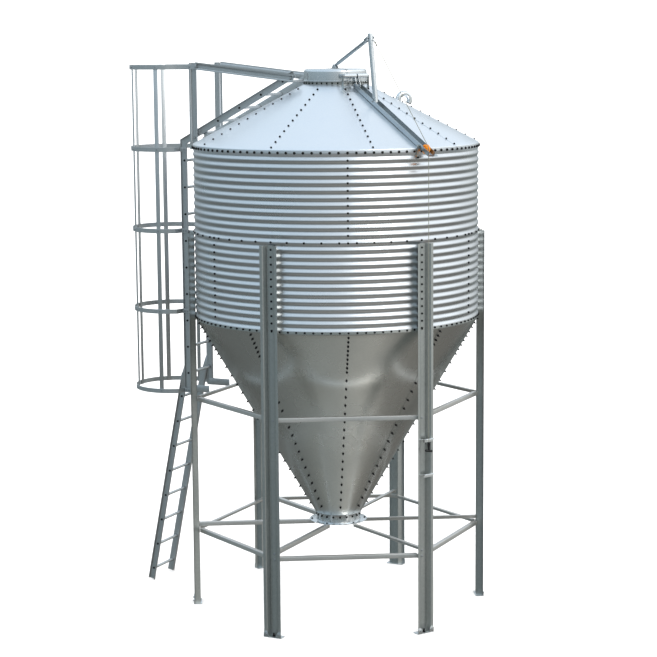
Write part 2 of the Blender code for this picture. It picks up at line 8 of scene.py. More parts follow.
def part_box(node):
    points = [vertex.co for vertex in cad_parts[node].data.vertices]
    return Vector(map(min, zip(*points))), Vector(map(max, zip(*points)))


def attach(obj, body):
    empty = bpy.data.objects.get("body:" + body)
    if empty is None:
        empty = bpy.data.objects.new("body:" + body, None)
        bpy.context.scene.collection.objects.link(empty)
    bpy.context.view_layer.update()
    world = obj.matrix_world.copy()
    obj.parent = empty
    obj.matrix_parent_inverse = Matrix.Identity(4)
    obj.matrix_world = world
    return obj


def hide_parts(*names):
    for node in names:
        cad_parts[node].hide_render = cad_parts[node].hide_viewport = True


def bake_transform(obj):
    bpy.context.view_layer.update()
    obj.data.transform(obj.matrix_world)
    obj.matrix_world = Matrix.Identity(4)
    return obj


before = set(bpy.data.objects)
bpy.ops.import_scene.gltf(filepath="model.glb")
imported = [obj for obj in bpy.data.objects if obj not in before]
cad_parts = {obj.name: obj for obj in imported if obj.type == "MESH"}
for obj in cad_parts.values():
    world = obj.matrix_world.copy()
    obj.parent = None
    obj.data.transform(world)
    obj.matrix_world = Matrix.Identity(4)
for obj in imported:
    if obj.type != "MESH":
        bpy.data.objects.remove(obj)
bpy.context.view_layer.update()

# STUDIO
# A pale floor that runs out of sight, a hazy pale-blue sky above and warm grey ground
# below for the zinc to mirror, and one broad light high on the right in front.


def colour(code):
    """sRGB hex to linear RGBA."""
    channels = [int(code[k:k + 2], 16) / 255 for k in (1, 3, 5)]
    return (*[c / 12.92 if c <= 0.04045 else ((c + 0.055) / 1.055) ** 2.4 for c in channels], 1)


def add(tree, kind, inputs=None, ramp=None, **settings):
    """Add one node; inputs maps a socket to a value or to another node's output."""
    node = tree.nodes.new("ShaderNode" + kind)
    for key, value in settings.items():
        setattr(node, key, value)
    for socket, value in (inputs or {}).items():
        if isinstance(value, bpy.types.NodeSocket):
            tree.links.new(value, node.inputs[socket])
        else:
            node.inputs[socket].default_value = value
    for k, (position, code) in enumerate(ramp or ()):
        stop = node.color_ramp.elements[k] if k < 2 else node.color_ramp.elements.new(position)
        stop.position, stop.color = position, colour(code)
    return node


world = bpy.data.worlds.new("studio")
bpy.context.scene.world = world
world.use_nodes = True
tree = world.node_tree
tree.nodes.clear()
way = add(tree, "TexCoord").outputs["Generated"]
height = add(tree, "SeparateXYZ", {0: way}).outputs["Z"]
# stops run from straight down (0) over the horizon (0.5) to straight up (1)
level = add(tree, "MapRange", {"Value": height, "From Min": -1.0, "From Max": 1.0}).outputs["Result"]
surround = add(tree, "ValToRGB", {0: level}, ramp=[
    (0.0, "#b2b6b5"), (1.0, "#dcecfb"), (0.017, "#acafad"), (0.035, "#9f9e97"), (0.075, "#878580"), (0.25, "#75736f"),
    (0.38, "#7e8584"), (0.44, "#8a9395"), (0.50, "#98a2a5"), (0.57, "#a9b2b6"), (0.63, "#cbd6de"), (0.71, "#e7f2fb"),
    (0.915, "#e9f5ff")])
# a broad hazy light low in front on the right, a paler patch of ground below it, and the
# pale backdrop that the right-hand edge of the wall mirrors
GLOWS = (((0.80, -0.45, 0.40), 0.56, 0.90, 0.42),
         ((0.32, -0.19, -0.93), 0.955, 1.0, 0.20),
         ((0.80, 0.55, 0.25), 0.82, 0.98, 0.34))


def towards(aim):
    """How squarely the mirrored ray looks that way: 1 straight at it, -1 away from it."""
    return add(tree, "VectorMath", {0: way, 1: Vector(aim).normalized()}, operation="DOT_PRODUCT").outputs["Value"]


glow = 0.0
for aim, first, full, strength in GLOWS:
    patch = add(tree, "MapRange", {"Value": towards(aim), "From Min": first, "From Max": full, "To Max": strength},
                interpolation_type="SMOOTHSTEP").outputs["Result"]
    glow = add(tree, "Math", {0: patch, 1: glow}, operation="ADD").outputs[0]
# the left of the sky is dimmer and bluer
left = add(tree, "MapRange", {"Value": towards((-1, 0, 0)), "From Min": -0.12, "From Max": 0.68}).outputs["Result"]
uneven = add(tree, "Mix", {"Factor": left, "A": surround.outputs["Color"], "B": colour("#dfebf2")},
             data_type="RGBA", blend_type="MULTIPLY")
mirrored = add(tree, "Background", {"Color": uneven.outputs["Result"]})
hazy_sun = add(tree, "Background", {"Color": colour("#fffaf4"), "Strength": glow})
sky = add(tree, "AddShader", {0: mirrored.outputs[0], 1: hazy_sun.outputs[0]})
backdrop = add(tree, "Background", {"Color": colour("#ffffff"), "Strength": 1.7})
gloss_ray = add(tree, "LightPath").outputs["Is Glossy Ray"]
shown = add(tree, "MixShader", {0: gloss_ray, 1: backdrop.outputs[0], 2: sky.outputs[0]})
add(tree, "OutputWorld", {"Surface": shown.outputs[0]})


def as_mesh(name, bm):
    mesh = bpy.data.meshes.new(name)
    bm.to_mesh(mesh)
    bm.free()
    return mesh


def put(name, data):
    """Put a mesh, a light or a camera in the scene, at the origin."""
    ob = bpy.data.objects.new(name, data)
    bpy.context.scene.collection.objects.link(ob)
    return ob


bm = bmesh.new()
bmesh.ops.create_grid(bm, x_segments=2, y_segments=2, size=150)
floor = put("floor", as_mesh("floor", bm))
paint = bpy.data.materials.new("pale_floor")
paint.use_nodes = True
shader = paint.node_tree.nodes["Principled BSDF"]
shader.inputs["Base Color"].default_value = colour("#fbfbfb")
shader.inputs["Roughness"].default_value = 1.0
shader.inputs["Specular IOR Level"].default_value = 0.0
floor.data.materials.append(paint)
floor.visible_glossy = False

light = bpy.data.lights.new("softbox_high", "AREA")
light.shape, light.size, light.energy = "DISK", 6, 450
light.color = colour("#fffaf2")[:3]
softbox = put("softbox_high", light)
softbox.location = (7, -9, 13)
softbox.rotation_euler = (Vector((0, 0, 1.5)) - softbox.location).to_track_quat("-Z", "Y").to_euler()

# The camera stands 18.6 m off and 5.5 m up, a little left of the front seam.
camera_data = bpy.data.cameras.new("camera")
camera_data.sensor_width = 36
camera_data.lens = 104.743
camera_data.clip_end = 500
camera = put("camera", camera_data)
bpy.context.scene.camera = camera
HEADING, DOWN, ROLL = math.radians(-4.1054), math.radians(81.575), math.radians(-0.457)
camera.matrix_world = (Matrix.Translation((-1.1376, -18.5118, 5.4769)) @ Matrix.Rotation(HEADING, 4, "Z")
                       @ Matrix.Rotation(DOWN, 4, "X") @ Matrix.Rotation(ROLL, 4, "Z"))
bpy.context.scene.view_settings.view_transform = "Standard"

# LEGS
# Six open hat sections, cold-folded from 4 mm plate and hot-dip galvanised, so they are
# a dull grey-green with soft edges. Each stands on a base plate held by two foot tabs.
low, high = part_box("roof_collar")
AXIS = Vector(((low.x + high.x) / 2, (low.y + high.y) / 2, 0))
WALL_R, PITCH, WAVE = 1.375, 0.8128 / 12, 0.0127
RING_JOINT_Z = 3.7076
WALL_FOOT_Z, WALL_TOP_Z = RING_JOINT_Z - 12 * PITCH, RING_JOINT_Z + 12 * PITCH
CREST_R = WALL_R + WAVE / 2
GAP = 0.0003                # between pieces that touch
LEG_AZ = [30 + 60 * k for k in range(6)]
LEG_R = CREST_R + 0.0005
LEG_TOP = RING_JOINT_Z - 0.028
LEG_T, LEG_DEPTH, PLATE_T = 0.004, 0.062, 0.0055


def place(az, r, z, t=0.0):
    """Point at azimuth az (0 in front, + to the right), r out from the silo's axis, t across."""
    a = math.radians(az)
    return AXIS + Vector((r * math.sin(a) + t * math.cos(a), -r * math.cos(a) + t * math.sin(a), z))


def outward(az):
    return place(az, 1, 0) - AXIS


def sideward(az):
    return place(az, 0, 0, 1) - AXIS


def up(rise):
    return Vector((0, 0, rise))


def blank(name):
    """A new material, with its node tree, its shader and the object's coordinates."""
    mat = bpy.data.materials.new(name)
    mat.use_nodes = True
    t = mat.node_tree
    return mat, t, t.nodes["Principled BSDF"], add(t, "TexCoord").outputs["Object"]


def zinc(name, pale, dull, roughness, mottle_mm, clouds_m, depth, corner=0.0):
    """Galvanised steel: crystals of two close greys, clouded in gloss where it was handled,
    and darkened by painted shade in the corners of its folds."""
    mat, t, shader, where = blank(name)
    spangle = add(t, "TexVoronoi", {"Vector": where, "Scale": 1000 / mottle_mm})
    cloud = add(t, "TexNoise", {"Vector": where, "Scale": 1 / clouds_m, "Detail": 3.0, "Roughness": 0.55})
    fine = add(t, "TexNoise", {"Vector": where, "Scale": 160.0, "Detail": 2.0})
    share = add(t, "Math", {0: spangle.outputs["Color"], 1: 0.45}, operation="MULTIPLY")
    both = add(t, "Math", {0: cloud.outputs["Fac"], 1: share.outputs[0]}, operation="ADD")
    tint = add(t, "Mix", {"Factor": both.outputs[0], "A": colour(pale), "B": colour(dull)},
               data_type="RGBA").outputs["Result"]
    # painted shade: an occlusion mask blends the colour towards near-black in the corners of folds, where shade falls
    if corner:
        painted_shade_mask = add(t, "AmbientOcclusion", {"Distance": corner}, samples=4, only_local=True)
        shade = add(t, "MapRange", {"Value": painted_shade_mask.outputs["AO"], "From Min": 0.45, "From Max": 0.95, "To Min": 0.35})
        tint = add(t, "Mix", {"Factor": shade.outputs["Result"], "A": colour("#101214"), "B": tint},
                   data_type="RGBA").outputs["Result"]
    t.links.new(tint, shader.inputs["Base Color"])
    gloss = add(t, "MapRange", {"Value": cloud.outputs["Fac"], "From Min": 0.3, "From Max": 0.7,
                                "To Min": roughness - 0.05, "To Max": roughness + 0.07})
    t.links.new(gloss.outputs["Result"], shader.inputs["Roughness"])
    bump = add(t, "Bump", {"Height": fine.outputs["Fac"], "Strength": depth, "Distance": 0.0006})
    t.links.new(bump.outputs["Normal"], shader.inputs["Normal"])
    shader.inputs["Metallic"].default_value = 1.0
    return mat


def bare(name, code, roughness, metallic, clouds_m=0.05, spread=0.06):
    """Plain finish with a slight change of gloss across it."""
    mat, t, shader, where = blank(name)
    cloud = add(t, "TexNoise", {"Vector": where, "Scale": 1 / clouds_m, "Detail": 2.0})
    gloss = add(t, "MapRange", {"Value": cloud.outputs["Fac"], "To Min": roughness - spread,
                                "To Max": roughness + spread})
    t.links.new(gloss.outputs["Result"], shader.inputs["Roughness"])
    shader.inputs["Base Color"].default_value = colour(code)
    shader.inputs["Metallic"].default_value = metallic
    return mat


# the last number is how far the painted shade in fold corners reaches
dipped = zinc("hot_dip_galvanised", "#d1d4d2", "#babebc", 0.38, 16, 0.35, 0.15, 0.030)
bright_zinc = zinc("bright_galvanised", "#eef0f1", "#e4e8ea", 0.23, 8, 0.2, 0.02, 0.015)
zinc_bolt = bare("zinc_plated_bolt", "#b9bdc0", 0.45, 1.0)
dark_bolt = bare("dark_sealed_bolt", "#0e0f11", 0.50, 0.0)
dark_bolt.node_tree.nodes["Principled BSDF"].inputs["Specular IOR Level"].default_value = 0.25


def make(name, bm, mat, body="silo", nodes=(), angle=35):
    """Make the piece, hang it under its body's empty if it has one, give it its finish and hide the CAD parts it stands
    in for.
    """
    mesh = as_mesh(name, bm)
    mesh.shade_smooth()
    mesh.set_sharp_from_angle(angle=math.radians(angle))
    mesh.materials.append(mat)
    ob = put(name, mesh)
    if body:
        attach(ob, body)
    if nodes:
        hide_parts(*nodes)
    return ob


def strip(bm, points, closed=False):
    """Vertices in a row, joined by edges."""
    verts = [bm.verts.new(p) for p in points]
    for pair in list(zip(verts, verts[1:])) + ([(verts[-1], verts[0])] if closed else []):
        bm.edges.new(pair)
    return verts


def round_off(bm, verts, radius, segments):
    """Round the corners of an outline."""
    bmesh.ops.bevel(bm, geom=verts, offset=radius, segments=segments, profile=0.5, affect="VERTICES", material=-1)


def push(bm, edges, move):
    """Extrude a row of edges, carry the new row along and hand it back."""
    made = bmesh.ops.extrude_edge_only(bm, edges=edges)["geom"]
    verts = {v for v in made if isinstance(v, bmesh.types.BMVert)}
    bmesh.ops.transform(bm, matrix=move, verts=list(verts))
    return [e for e in made if isinstance(e, bmesh.types.BMEdge) and verts.issuperset(e.verts)]


def turn_to(bm, way):
    """Turn the faces of a sheet over if on the whole they look against way."""
    if sum((f.normal * f.calc_area() for f in bm.faces), Vector()).dot(way) < 0:
        bmesh.ops.reverse_faces(bm, faces=bm.faces)


def folded(bm, points, bend, run, thick, grow, cut=None):
    """Fold a strip of sheet: round its corners, run it along, and thicken it to the side grow
    points to. cut is a plane (point, way): what lies beyond it is sawn off first."""
    part = bmesh.new()
    round_off(part, strip(part, points)[1:-1], bend, 3)
    push(part, part.edges[:], Matrix.Translation(run))
    if cut:
        bmesh.ops.bisect_plane(part, geom=part.verts[:] + part.edges[:] + part.faces[:], plane_co=cut[0],
                               plane_no=cut[1], clear_outer=True)
    bmesh.ops.recalc_face_normals(part, faces=part.faces)
    turn_to(part, -grow)
    bmesh.ops.solidify(part, geom=part.faces[:], thickness=thick)
    bmesh.ops.recalc_face_normals(part, faces=part.faces)
    merge(bm, part)


def merge(bm, part):
    """Move one bmesh's shape into another."""
    mesh = as_mesh("part", part)
    bm.from_mesh(mesh)
    bpy.data.meshes.remove(mesh)


def oblong(u0, v0, u1, v1):
    return [(u0, v0), (u1, v0), (u1, v1), (u0, v1)]


def slab(bm, outline, run, soften=0.0, round_ends=()):
    """Cut a plate to an outline, push it to its thickness and soften its edges."""
    part = bmesh.new()
    verts = strip(part, outline, closed=True)
    part.faces.new(verts)
    if round_ends:
        radius, picks = round_ends
        round_off(part, [verts[k] for k in picks], radius, 5)
    made = bmesh.ops.extrude_face_region(part, geom=part.faces[:])["geom"]
    bmesh.ops.translate(part, verts=[v for v in made if isinstance(v, bmesh.types.BMVert)], vec=run)
    bmesh.ops.recalc_face_normals(part, faces=part.faces)
    if soften:
        bmesh.ops.bevel(part, geom=part.edges[:], offset=soften, segments=2, profile=0.5, affect="EDGES", material=-1,
                        clamp_overlap=True)
    merge(bm, part)


def turned(bm, parts, start, way, sides=16):
    """Lathe a shape along a line: parts are (radius at its foot, radius at its top, length)."""
    way = Vector(way).normalized()
    turn = way.to_track_quat("Z", "Y").to_matrix().to_4x4()
    for low_r, high_r, length in parts:
        bmesh.ops.create_cone(bm, cap_ends=True, cap_tris=False, segments=sides, radius1=low_r, radius2=high_r,
                              depth=length, matrix=Matrix.Translation(start + way * length / 2) @ turn)
        start = start + way * length


def bolt(name, *parts):
    """One bolt standing on +Z: each part is (radius, height, sides)."""
    bm = bmesh.new()
    foot = -0.001
    for radius, tall, sides in parts:
        turned(bm, [(radius, radius, tall)], up(foot), up(1), sides)
        foot += tall
    return as_mesh(name, bm)


def drive(bm, pattern, spots):
    """Put one bolt at each (point, way out)."""
    for point, way in spots:
        mesh = pattern.copy()
        mesh.transform(Matrix.Translation(point) @ way.to_track_quat("Z", "Y").to_matrix().to_4x4())
        bm.from_mesh(mesh)
        bpy.data.meshes.remove(mesh)


wall_bolt = bolt("wall_bolt", (0.0105, 0.0035, 12), (0.0078, 0.0065, 6))
frame_bolt = bolt("frame_bolt", (0.0110, 0.0030, 12), (0.0085, 0.0070, 6))
anchor_bolt = bolt("anchor_bolt", (0.0160, 0.0040, 12), (0.0130, 0.0120, 6), (0.0070, 0.0160, 8))

HAT = [(-0.087, 0.058), (-0.060, 0.058), (-0.040, 0.0), (0.040, 0.0), (0.060, 0.058), (0.087, 0.058)]
FOOT_TAB = [(0.038, PLATE_T), (0.0895, PLATE_T), (0.0895, 0.044), (0.080, 0.060), (0.062, 0.060), (0.046, 0.044)]
TONGUE_Z = (1.850, 1.517)
for n, az in enumerate(LEG_AZ):
    bm = bmesh.new()
    folded(bm, [place(az, LEG_R + d, PLATE_T, t) for t, d in HAT], 0.007, up(LEG_TOP - PLATE_T), LEG_T, outward(az))
    make(f"leg_{n + 1}_section", bm, dipped, nodes=[f"leg_{n + 1}"])

# The foot plates, and on leg 1 two folded tongues that guide the rope, have a brighter coat.
bm = bmesh.new()
for az in LEG_AZ:
    base = [place(az, LEG_R + d, 0.0, t) for t, d in oblong(-0.091, -0.012, 0.091, 0.068)]
    slab(bm, base, up(PLATE_T), 0.0008, (0.004, (0, 1, 2, 3)))
    for side in (-1, 1):
        tab = [place(az, LEG_R + LEG_DEPTH + 0.0002, z, side * t) for t, z in FOOT_TAB]
        slab(bm, tab, outward(az) * 0.0048, 0.0008, (0.005, (2, 3, 4, 5)))
az, lip_r = LEG_AZ[0], LEG_R + LEG_DEPTH + 0.0002
for z in TONGUE_Z:
    tongue = [(0, z - 0.018), (0, z + 0.015), (0.0238, z + 0.015), (0.0238, z + 0.002)]
    folded(bm, [place(az, lip_r + d, h, -0.028) for d, h in tongue], 0.003, sideward(az) * 0.106, 0.003,
           outward(az) - up(1))
    flap = ((-0.078, 0), (-0.030, 0), (-0.030, 0.0168), (-0.078, 0.0118))
    slab(bm, [place(az, lip_r + d, z + 0.012, t) for t, d in flap], up(0.003), 0.0005)
make("foot_plates", bm, bright_zinc)

# Dark sealed bolts hold each leg to the crests of the lower ring and a black anchor stands
# in each foot; bright bolts hold the tabs, the braces and the struts.
bm = bmesh.new()
for az in LEG_AZ:
    drive(bm, wall_bolt, [(place(az, LEG_R + LEG_T, RING_JOINT_Z - PITCH * k), outward(az)) for k in range(1, 13)])
    drive(bm, anchor_bolt, [(place(az, LEG_R + 0.033, PLATE_T), up(1))])
make("leg_bolts", bm, dark_bolt)
bm = bmesh.new()
for az in LEG_AZ:
    drive(bm, frame_bolt, [(place(az, LEG_R + LEG_T, z), outward(az)) for z in (2.054, 0.735, 0.790)])
    drive(bm, wall_bolt, [(place(az, LEG_R + LEG_DEPTH + 0.005, 0.030, s * 0.062), outward(az)) for s in (-1, 1)])
make("brace_bolts", bm, zinc_bolt)

# WALL
# Two rings of three galvanised sheets, rolled to twelve shallow waves a ring. The sheets
# lap at their bolted seams, and the upper ring laps outside the lower one. The zinc is
# new and smooth, so every wave mirrors the sky on its upper flank and the ground below.
sheet_zinc = zinc("corrugated_galvanised", "#e6e8ea", "#d8dbde", 0.29, 10, 0.5, 0.03)
SHEET, STEP_OUT = 0.002, 0.0022
LAP_W = 1.1                 # degrees either side of a seam


def wave(z):
    return WALL_R + WAVE / 2 * math.cos(2 * math.pi * (z - RING_JOINT_Z) / PITCH)


def spin(bm, centre, axis, angle, steps, whole=False):
    """Spin a profile about an axis, and close it on itself if it goes the whole way round."""
    bmesh.ops.spin(bm, geom=bm.verts[:] + bm.edges[:], cent=centre, axis=axis, angle=angle, steps=steps,
                   dvec=(0, 0, 0), use_merge=whole, use_duplicate=False)


def corrugated(name, foot, rise, seam, node):
    """Roll one sheet: a waved edge spun through a third of the ring, its last lap set outside."""
    bm = bmesh.new()
    zs = [foot + (rise - foot) * k / 168 for k in range(169)]
    strip(bm, [place(seam - LAP_W, wave(z), z) for z in zs])
    spin(bm, AXIS, up(1), math.radians(120 + 2 * LAP_W), 56)
    end = math.radians(seam + 120 - LAP_W * 1.6)
    for v in bm.verts:
        out = Vector((v.co.x - AXIS.x, v.co.y - AXIS.y, 0))
        turn = (math.atan2(out.x, -out.y) - end) % (2 * math.pi)
        step = STEP_OUT if turn < math.radians(LAP_W * 4) else 0.0
        if foot > RING_JOINT_Z - 0.1 and v.co.z < RING_JOINT_Z + 0.016:
            step += STEP_OUT
        v.co += out.normalized() * step
    for f in bm.faces:
        middle = f.calc_center_median() - AXIS
        if f.normal.dot(Vector((middle.x, middle.y, 0))) < 0:
            f.normal_flip()
    bmesh.ops.solidify(bm, geom=bm.faces[:], thickness=SHEET)
    make(name, bm, sheet_zinc, nodes=[node], angle=50)


for k in range(3):
    corrugated(f"lower_ring_sheet_{k + 1}", WALL_FOOT_Z, RING_JOINT_Z, 60 + 120 * k, f"wall_sheet_lower_{k + 1}")
    corrugated(f"upper_ring_sheet_{k + 1}", RING_JOINT_Z - 0.012, WALL_TOP_Z, 120 * k, f"wall_sheet_upper_{k + 1}")

# One bolt on every crest of a seam; a ring of bolts round the joint between the rings,
# on every other mark of 3.33 degrees and on each seam.
bm = bmesh.new()
LAP_R = CREST_R + STEP_OUT
MARKS = [10 / 3 * k for k in range(108)]
for k in range(3):
    for az, rise in ((120 * k, PITCH), (60 + 120 * k, -PITCH)):
        drive(bm, wall_bolt, [(place(az, LAP_R, RING_JOINT_Z + rise * n), outward(az)) for n in range(1, 12)])
around = [az for k, az in enumerate(MARKS) if k % 2 or k % 18 == 0]
drive(bm, wall_bolt, [(place(az, LAP_R, RING_JOINT_Z), outward(az)) for az in around])
make("wall_seam_bolts", bm, dark_bolt)

# HOPPER
# Nine flat galvanised sheets drawn into a cone under an upright rim. Each laps over the
# next and is bolted from inside, so nuts and threads stand out; the wide upper part has
# buckled a little between its seams.
hopper_zinc = zinc("hopper_galvanised", "#dcdedb", "#cfd2d0", 0.27, 14, 0.45, 0.02)
RIM_TOP = WALL_FOOT_Z - 0.0004
RIM_LOW = RIM_TOP - 0.027
THROAT_R, THROAT_Z = 0.227, 0.905
SLANT = math.hypot(CREST_R - THROAT_R, RIM_LOW - THROAT_Z)
cone_out = Vector((0, RIM_LOW - THROAT_Z, -(CREST_R - THROAT_R))) / SLANT


def tipped(az, v):
    """Turn a (0, out, up) direction to an azimuth."""
    return outward(az) * v.y + up(v.z)


def on_cone(az, s, lift):
    """Point s metres down the hopper's side from its rim, and lift out of it."""
    r = CREST_R + (THROAT_R - CREST_R) * s / SLANT
    z = RIM_LOW + (THROAT_Z - RIM_LOW) * s / SLANT
    return place(az, r, z) + tipped(az, cone_out) * lift


def buckle(share, r):
    """How far a hopper sheet has moved in, at a share of its width and r out."""
    s = (CREST_R - r) / (CREST_R - THROAT_R) * SLANT
    dip = math.exp(-((s - 0.46) / 0.20) ** 2)
    swell = math.exp(-((s - 0.86) / 0.26) ** 2)
    return (0.0072 * dip - 0.003 * swell) * math.sin(math.pi * share) ** 2


def lapped(bm, line, seam, bend, cuts, lap, rise, dent):
    """Roll one of nine sheets of a cone, run its edges parallel to the seams so that it laps
    over the sheet before it, tilt it by its own thickness, dent it and give it its gauge."""
    sheet = bmesh.new()
    round_off(sheet, strip(sheet, line)[1:-1], bend, 4)
    bmesh.ops.subdivide_edges(sheet, edges=[e for e in sheet.edges if e.calc_length() > 0.5], cuts=cuts)
    spin(sheet, AXIS, up(1), math.radians(40), 20)
    bmesh.ops.recalc_face_normals(sheet, faces=sheet.faces)
    turn_to(sheet, outward(seam + 20))
    sheet.normal_update()
    for v in sheet.verts:
        out = Vector((v.co.x - AXIS.x, v.co.y - AXIS.y, 0))
        r = out.length
        share = ((math.degrees(math.atan2(out.x, -out.y)) - seam) % 360) / 40
        share = 0.0 if share > 5 else min(share, 1.0)
        shift = math.degrees(math.asin((lap[1] * share - lap[0] * (1 - share)) / r))
        lift = v.normal * (rise * (1 - share) - dent(share, r))
        v.co = Matrix.Rotation(math.radians(shift), 3, "Z") @ (v.co + lift - AXIS) + AXIS
    bmesh.ops.solidify(sheet, geom=sheet.faces[:], thickness=0.0018)
    bmesh.ops.recalc_face_normals(sheet, faces=sheet.faces)
    merge(bm, sheet)


for group in range(3):
    bm = bmesh.new()
    for seam in (120 * group, 120 * group + 40, 120 * group + 80):
        line = [place(seam, CREST_R, RIM_TOP), place(seam, CREST_R, RIM_LOW), place(seam, THROAT_R, THROAT_Z)]
        lapped(bm, line, seam, 0.005, 44, (0.022, 0.022), 0.0022, buckle)
    make(f"hopper_cone_{group + 1}", bm, hopper_zinc, nodes=[f"hopper_sheets_{group + 1}"],
         angle=40)

hopper_bolt = bolt("hopper_bolt", (0.0110, 0.0040, 12), (0.0080, 0.0080, 6), (0.0040, 0.0090, 8))
bm = bmesh.new()
downs = [0.030 + 0.0513 * k for k in range(9)] + [0.4404 + 0.1018 * k for k in range(1, 18)]
for az in range(0, 360, 40):
    drive(bm, hopper_bolt, [(on_cone(az, s, 0.0024), tipped(az, cone_out)) for s in downs])
drive(bm, wall_bolt, [(place(az, CREST_R + 0.001, RIM_TOP - 0.009), outward(az)) for az in MARKS])
make("hopper_bolts", bm, dark_bolt)

# OUTLET
# A short rolled tube bolted round under the cone, with a wide flat flange welded to its
# foot for the auger boot. Its zinc is bright, like the lid's.
FLANGE_R, TUBE_R, BORE_R, FLANGE_Z = 0.285, 0.2145, 0.2105, 0.816


def lathe(bm, outline, centre=AXIS, axis=up(1), out=outward(0), sides=72, closed=True, soften=0.0):
    """Turn an outline of (distance, height) points about an axis through centre."""
    part = bmesh.new()
    verts = strip(part, [centre + out * r + axis * h for r, h in outline], closed)
    if soften:
        round_off(part, verts, soften, 2)
    spin(part, centre, axis, 2 * math.pi, sides, whole=True)
    bmesh.ops.remove_doubles(part, verts=part.verts, dist=0.00001)
    bmesh.ops.recalc_face_normals(part, faces=part.faces)
    merge(bm, part)


bm = bmesh.new()
tube = [(BORE_R, FLANGE_Z), (FLANGE_R, FLANGE_Z), (FLANGE_R, FLANGE_Z + 0.005), (TUBE_R + 0.004, FLANGE_Z + 0.005),
        (TUBE_R, FLANGE_Z + 0.009), (TUBE_R, 0.8997), (0.232, 0.8997), (0.232, 0.9047), (BORE_R, 0.9047)]
lathe(bm, tube, soften=0.0008)
make("outlet_tube", bm, bright_zinc, nodes=["outlet_collar"])
bm = bmesh.new()
drive(bm, wall_bolt, [(place(az, TUBE_R, 0.874), outward(az)) for az in range(0, 360, 18)])
drive(bm, wall_bolt, [(place(az, 0.262, FLANGE_Z + 0.005), up(1)) for az in LEG_AZ])
make("outlet_bolts", bm, dark_bolt)

# BRACES AND STRUTS
# Cold-folded angle, 40 mm by 4 mm, with a paler coat than the legs. The braces run level
# from leg to leg and are pressed flat where they are bolted behind a web; the struts run
# in to the outlet's flange.
angle_zinc = zinc("angle_galvanised", "#eae7e3", "#dad7d3", 0.36, 12, 0.25, 0.06)
ANGLE, ANGLE_T, BRACE_Z = 0.040, 0.004, (2.039, 0.722)
WEB_BACK = LEG_R - GAP
FLAT = math.degrees(math.atan(0.04 / LEG_R))
BRACE_R = WEB_BACK / math.cos(math.radians(FLAT))
STRUT_R, STRUT_TOP = 0.238, FLANGE_Z - GAP


def pressed_end(bm, az, half, low):
    """The flat end of an angle, bolted behind a leg's web."""
    end = [place(az, WEB_BACK, z, t) for t, z in oblong(-half, low, half, low + ANGLE)]
    slab(bm, end, outward(az) * -ANGLE_T, 0.0006)


for name, low in zip(("upper", "lower"), BRACE_Z):
    bm = bmesh.new()
    for az in LEG_AZ:
        a, b = place(az + FLAT, BRACE_R, low), place(az + 60 - FLAT, BRACE_R, low)
        way, back = (b - a).normalized(), -outward(az + 30)
        a, b = a + way * 0.012, b - way * 0.012
        corner = a + up(ANGLE)
        folded(bm, [corner + back * ANGLE, corner, a], 0.004, b - a, ANGLE_T, back - up(1))
        pressed_end(bm, az, 0.052, low)
    make(f"braces_{name}", bm, angle_zinc, nodes=[f"brace_ring_{name}"])
for n, az in enumerate(LEG_AZ):
    bm = bmesh.new()
    low = STRUT_TOP - ANGLE
    section = [place(az, STRUT_R, z, t) for z, t in ((low, 0.020), (STRUT_TOP, 0.020), (STRUT_TOP, -0.020))]
    folded(bm, section, 0.004, outward(az) * (WEB_BACK - STRUT_R), ANGLE_T, -sideward(az) - up(1))
    pressed_end(bm, az, ANGLE / 2, low)
    make(f"strut_{n + 1}", bm, angle_zinc, nodes=[f"outlet_strut_{n + 1}"])

# ROOF
# Nine galvanised sheets from the filling neck to a rim that is turned down over the wall.
# Each laps 13 mm past the bolts of its seam; big flat sheets like these are never quite true.
roof_zinc = zinc("roof_galvanised", "#f6f9fc", "#edf2f8", 0.32, 10, 0.6, 0.03)
ROOF_SLOPE, SKIRT_R = 0.5184, CREST_R + 0.0005
SKIRT_LOW, SKIRT_TOP = WALL_TOP_Z - 0.034, WALL_TOP_Z + 0.0245
NECK_R = 0.3018
roof_out = Vector((0, ROOF_SLOPE, 1)).normalized()


def roof_z(r):
    """Height of the roof's outside, r out from the silo's axis."""
    return SKIRT_TOP + 0.003 + (SKIRT_R + 0.003 - r) * ROOF_SLOPE


def roof_wave(share, r):
    """How far a roof sheet has moved in between its seams."""
    return 0.0016 * math.sin(math.pi * share) * math.sin((r - 0.3) / 1.08 * math.pi)


for group in range(3):
    bm = bmesh.new()
    for seam in (120 * group + 10, 120 * group + 50, 120 * group + 90):
        rim = SKIRT_R + 0.0008
        line = [place(seam, NECK_R, roof_z(NECK_R) - 0.0026), place(seam, rim, roof_z(rim) - 0.0026),
                place(seam, rim, WALL_TOP_Z - 0.004), place(seam, rim - 0.008, SKIRT_LOW)]
        lapped(bm, line, seam, 0.004, 16, (0.013, 0.020), 0.0022, roof_wave)
    make(f"roof_cone_{group + 1}", bm, roof_zinc, nodes=[f"roof_sheets_{group + 1}"], angle=40)

bm = bmesh.new()
spots = [0.388 + (1.351 - 0.388) * n / 11 for n in range(12)]
for az in range(10, 370, 40):
    drive(bm, wall_bolt, [(place(az, r, roof_z(r)), tipped(az, roof_out)) for r in spots])
eave_bolt = bolt("eave_bolt", (0.0125, 0.0035, 12), (0.0100, 0.0060, 6))
drive(bm, eave_bolt, [(place(az, SKIRT_R + 0.003, WALL_TOP_Z), outward(az)) for az in MARKS])
make("roof_bolts", bm, dark_bolt)

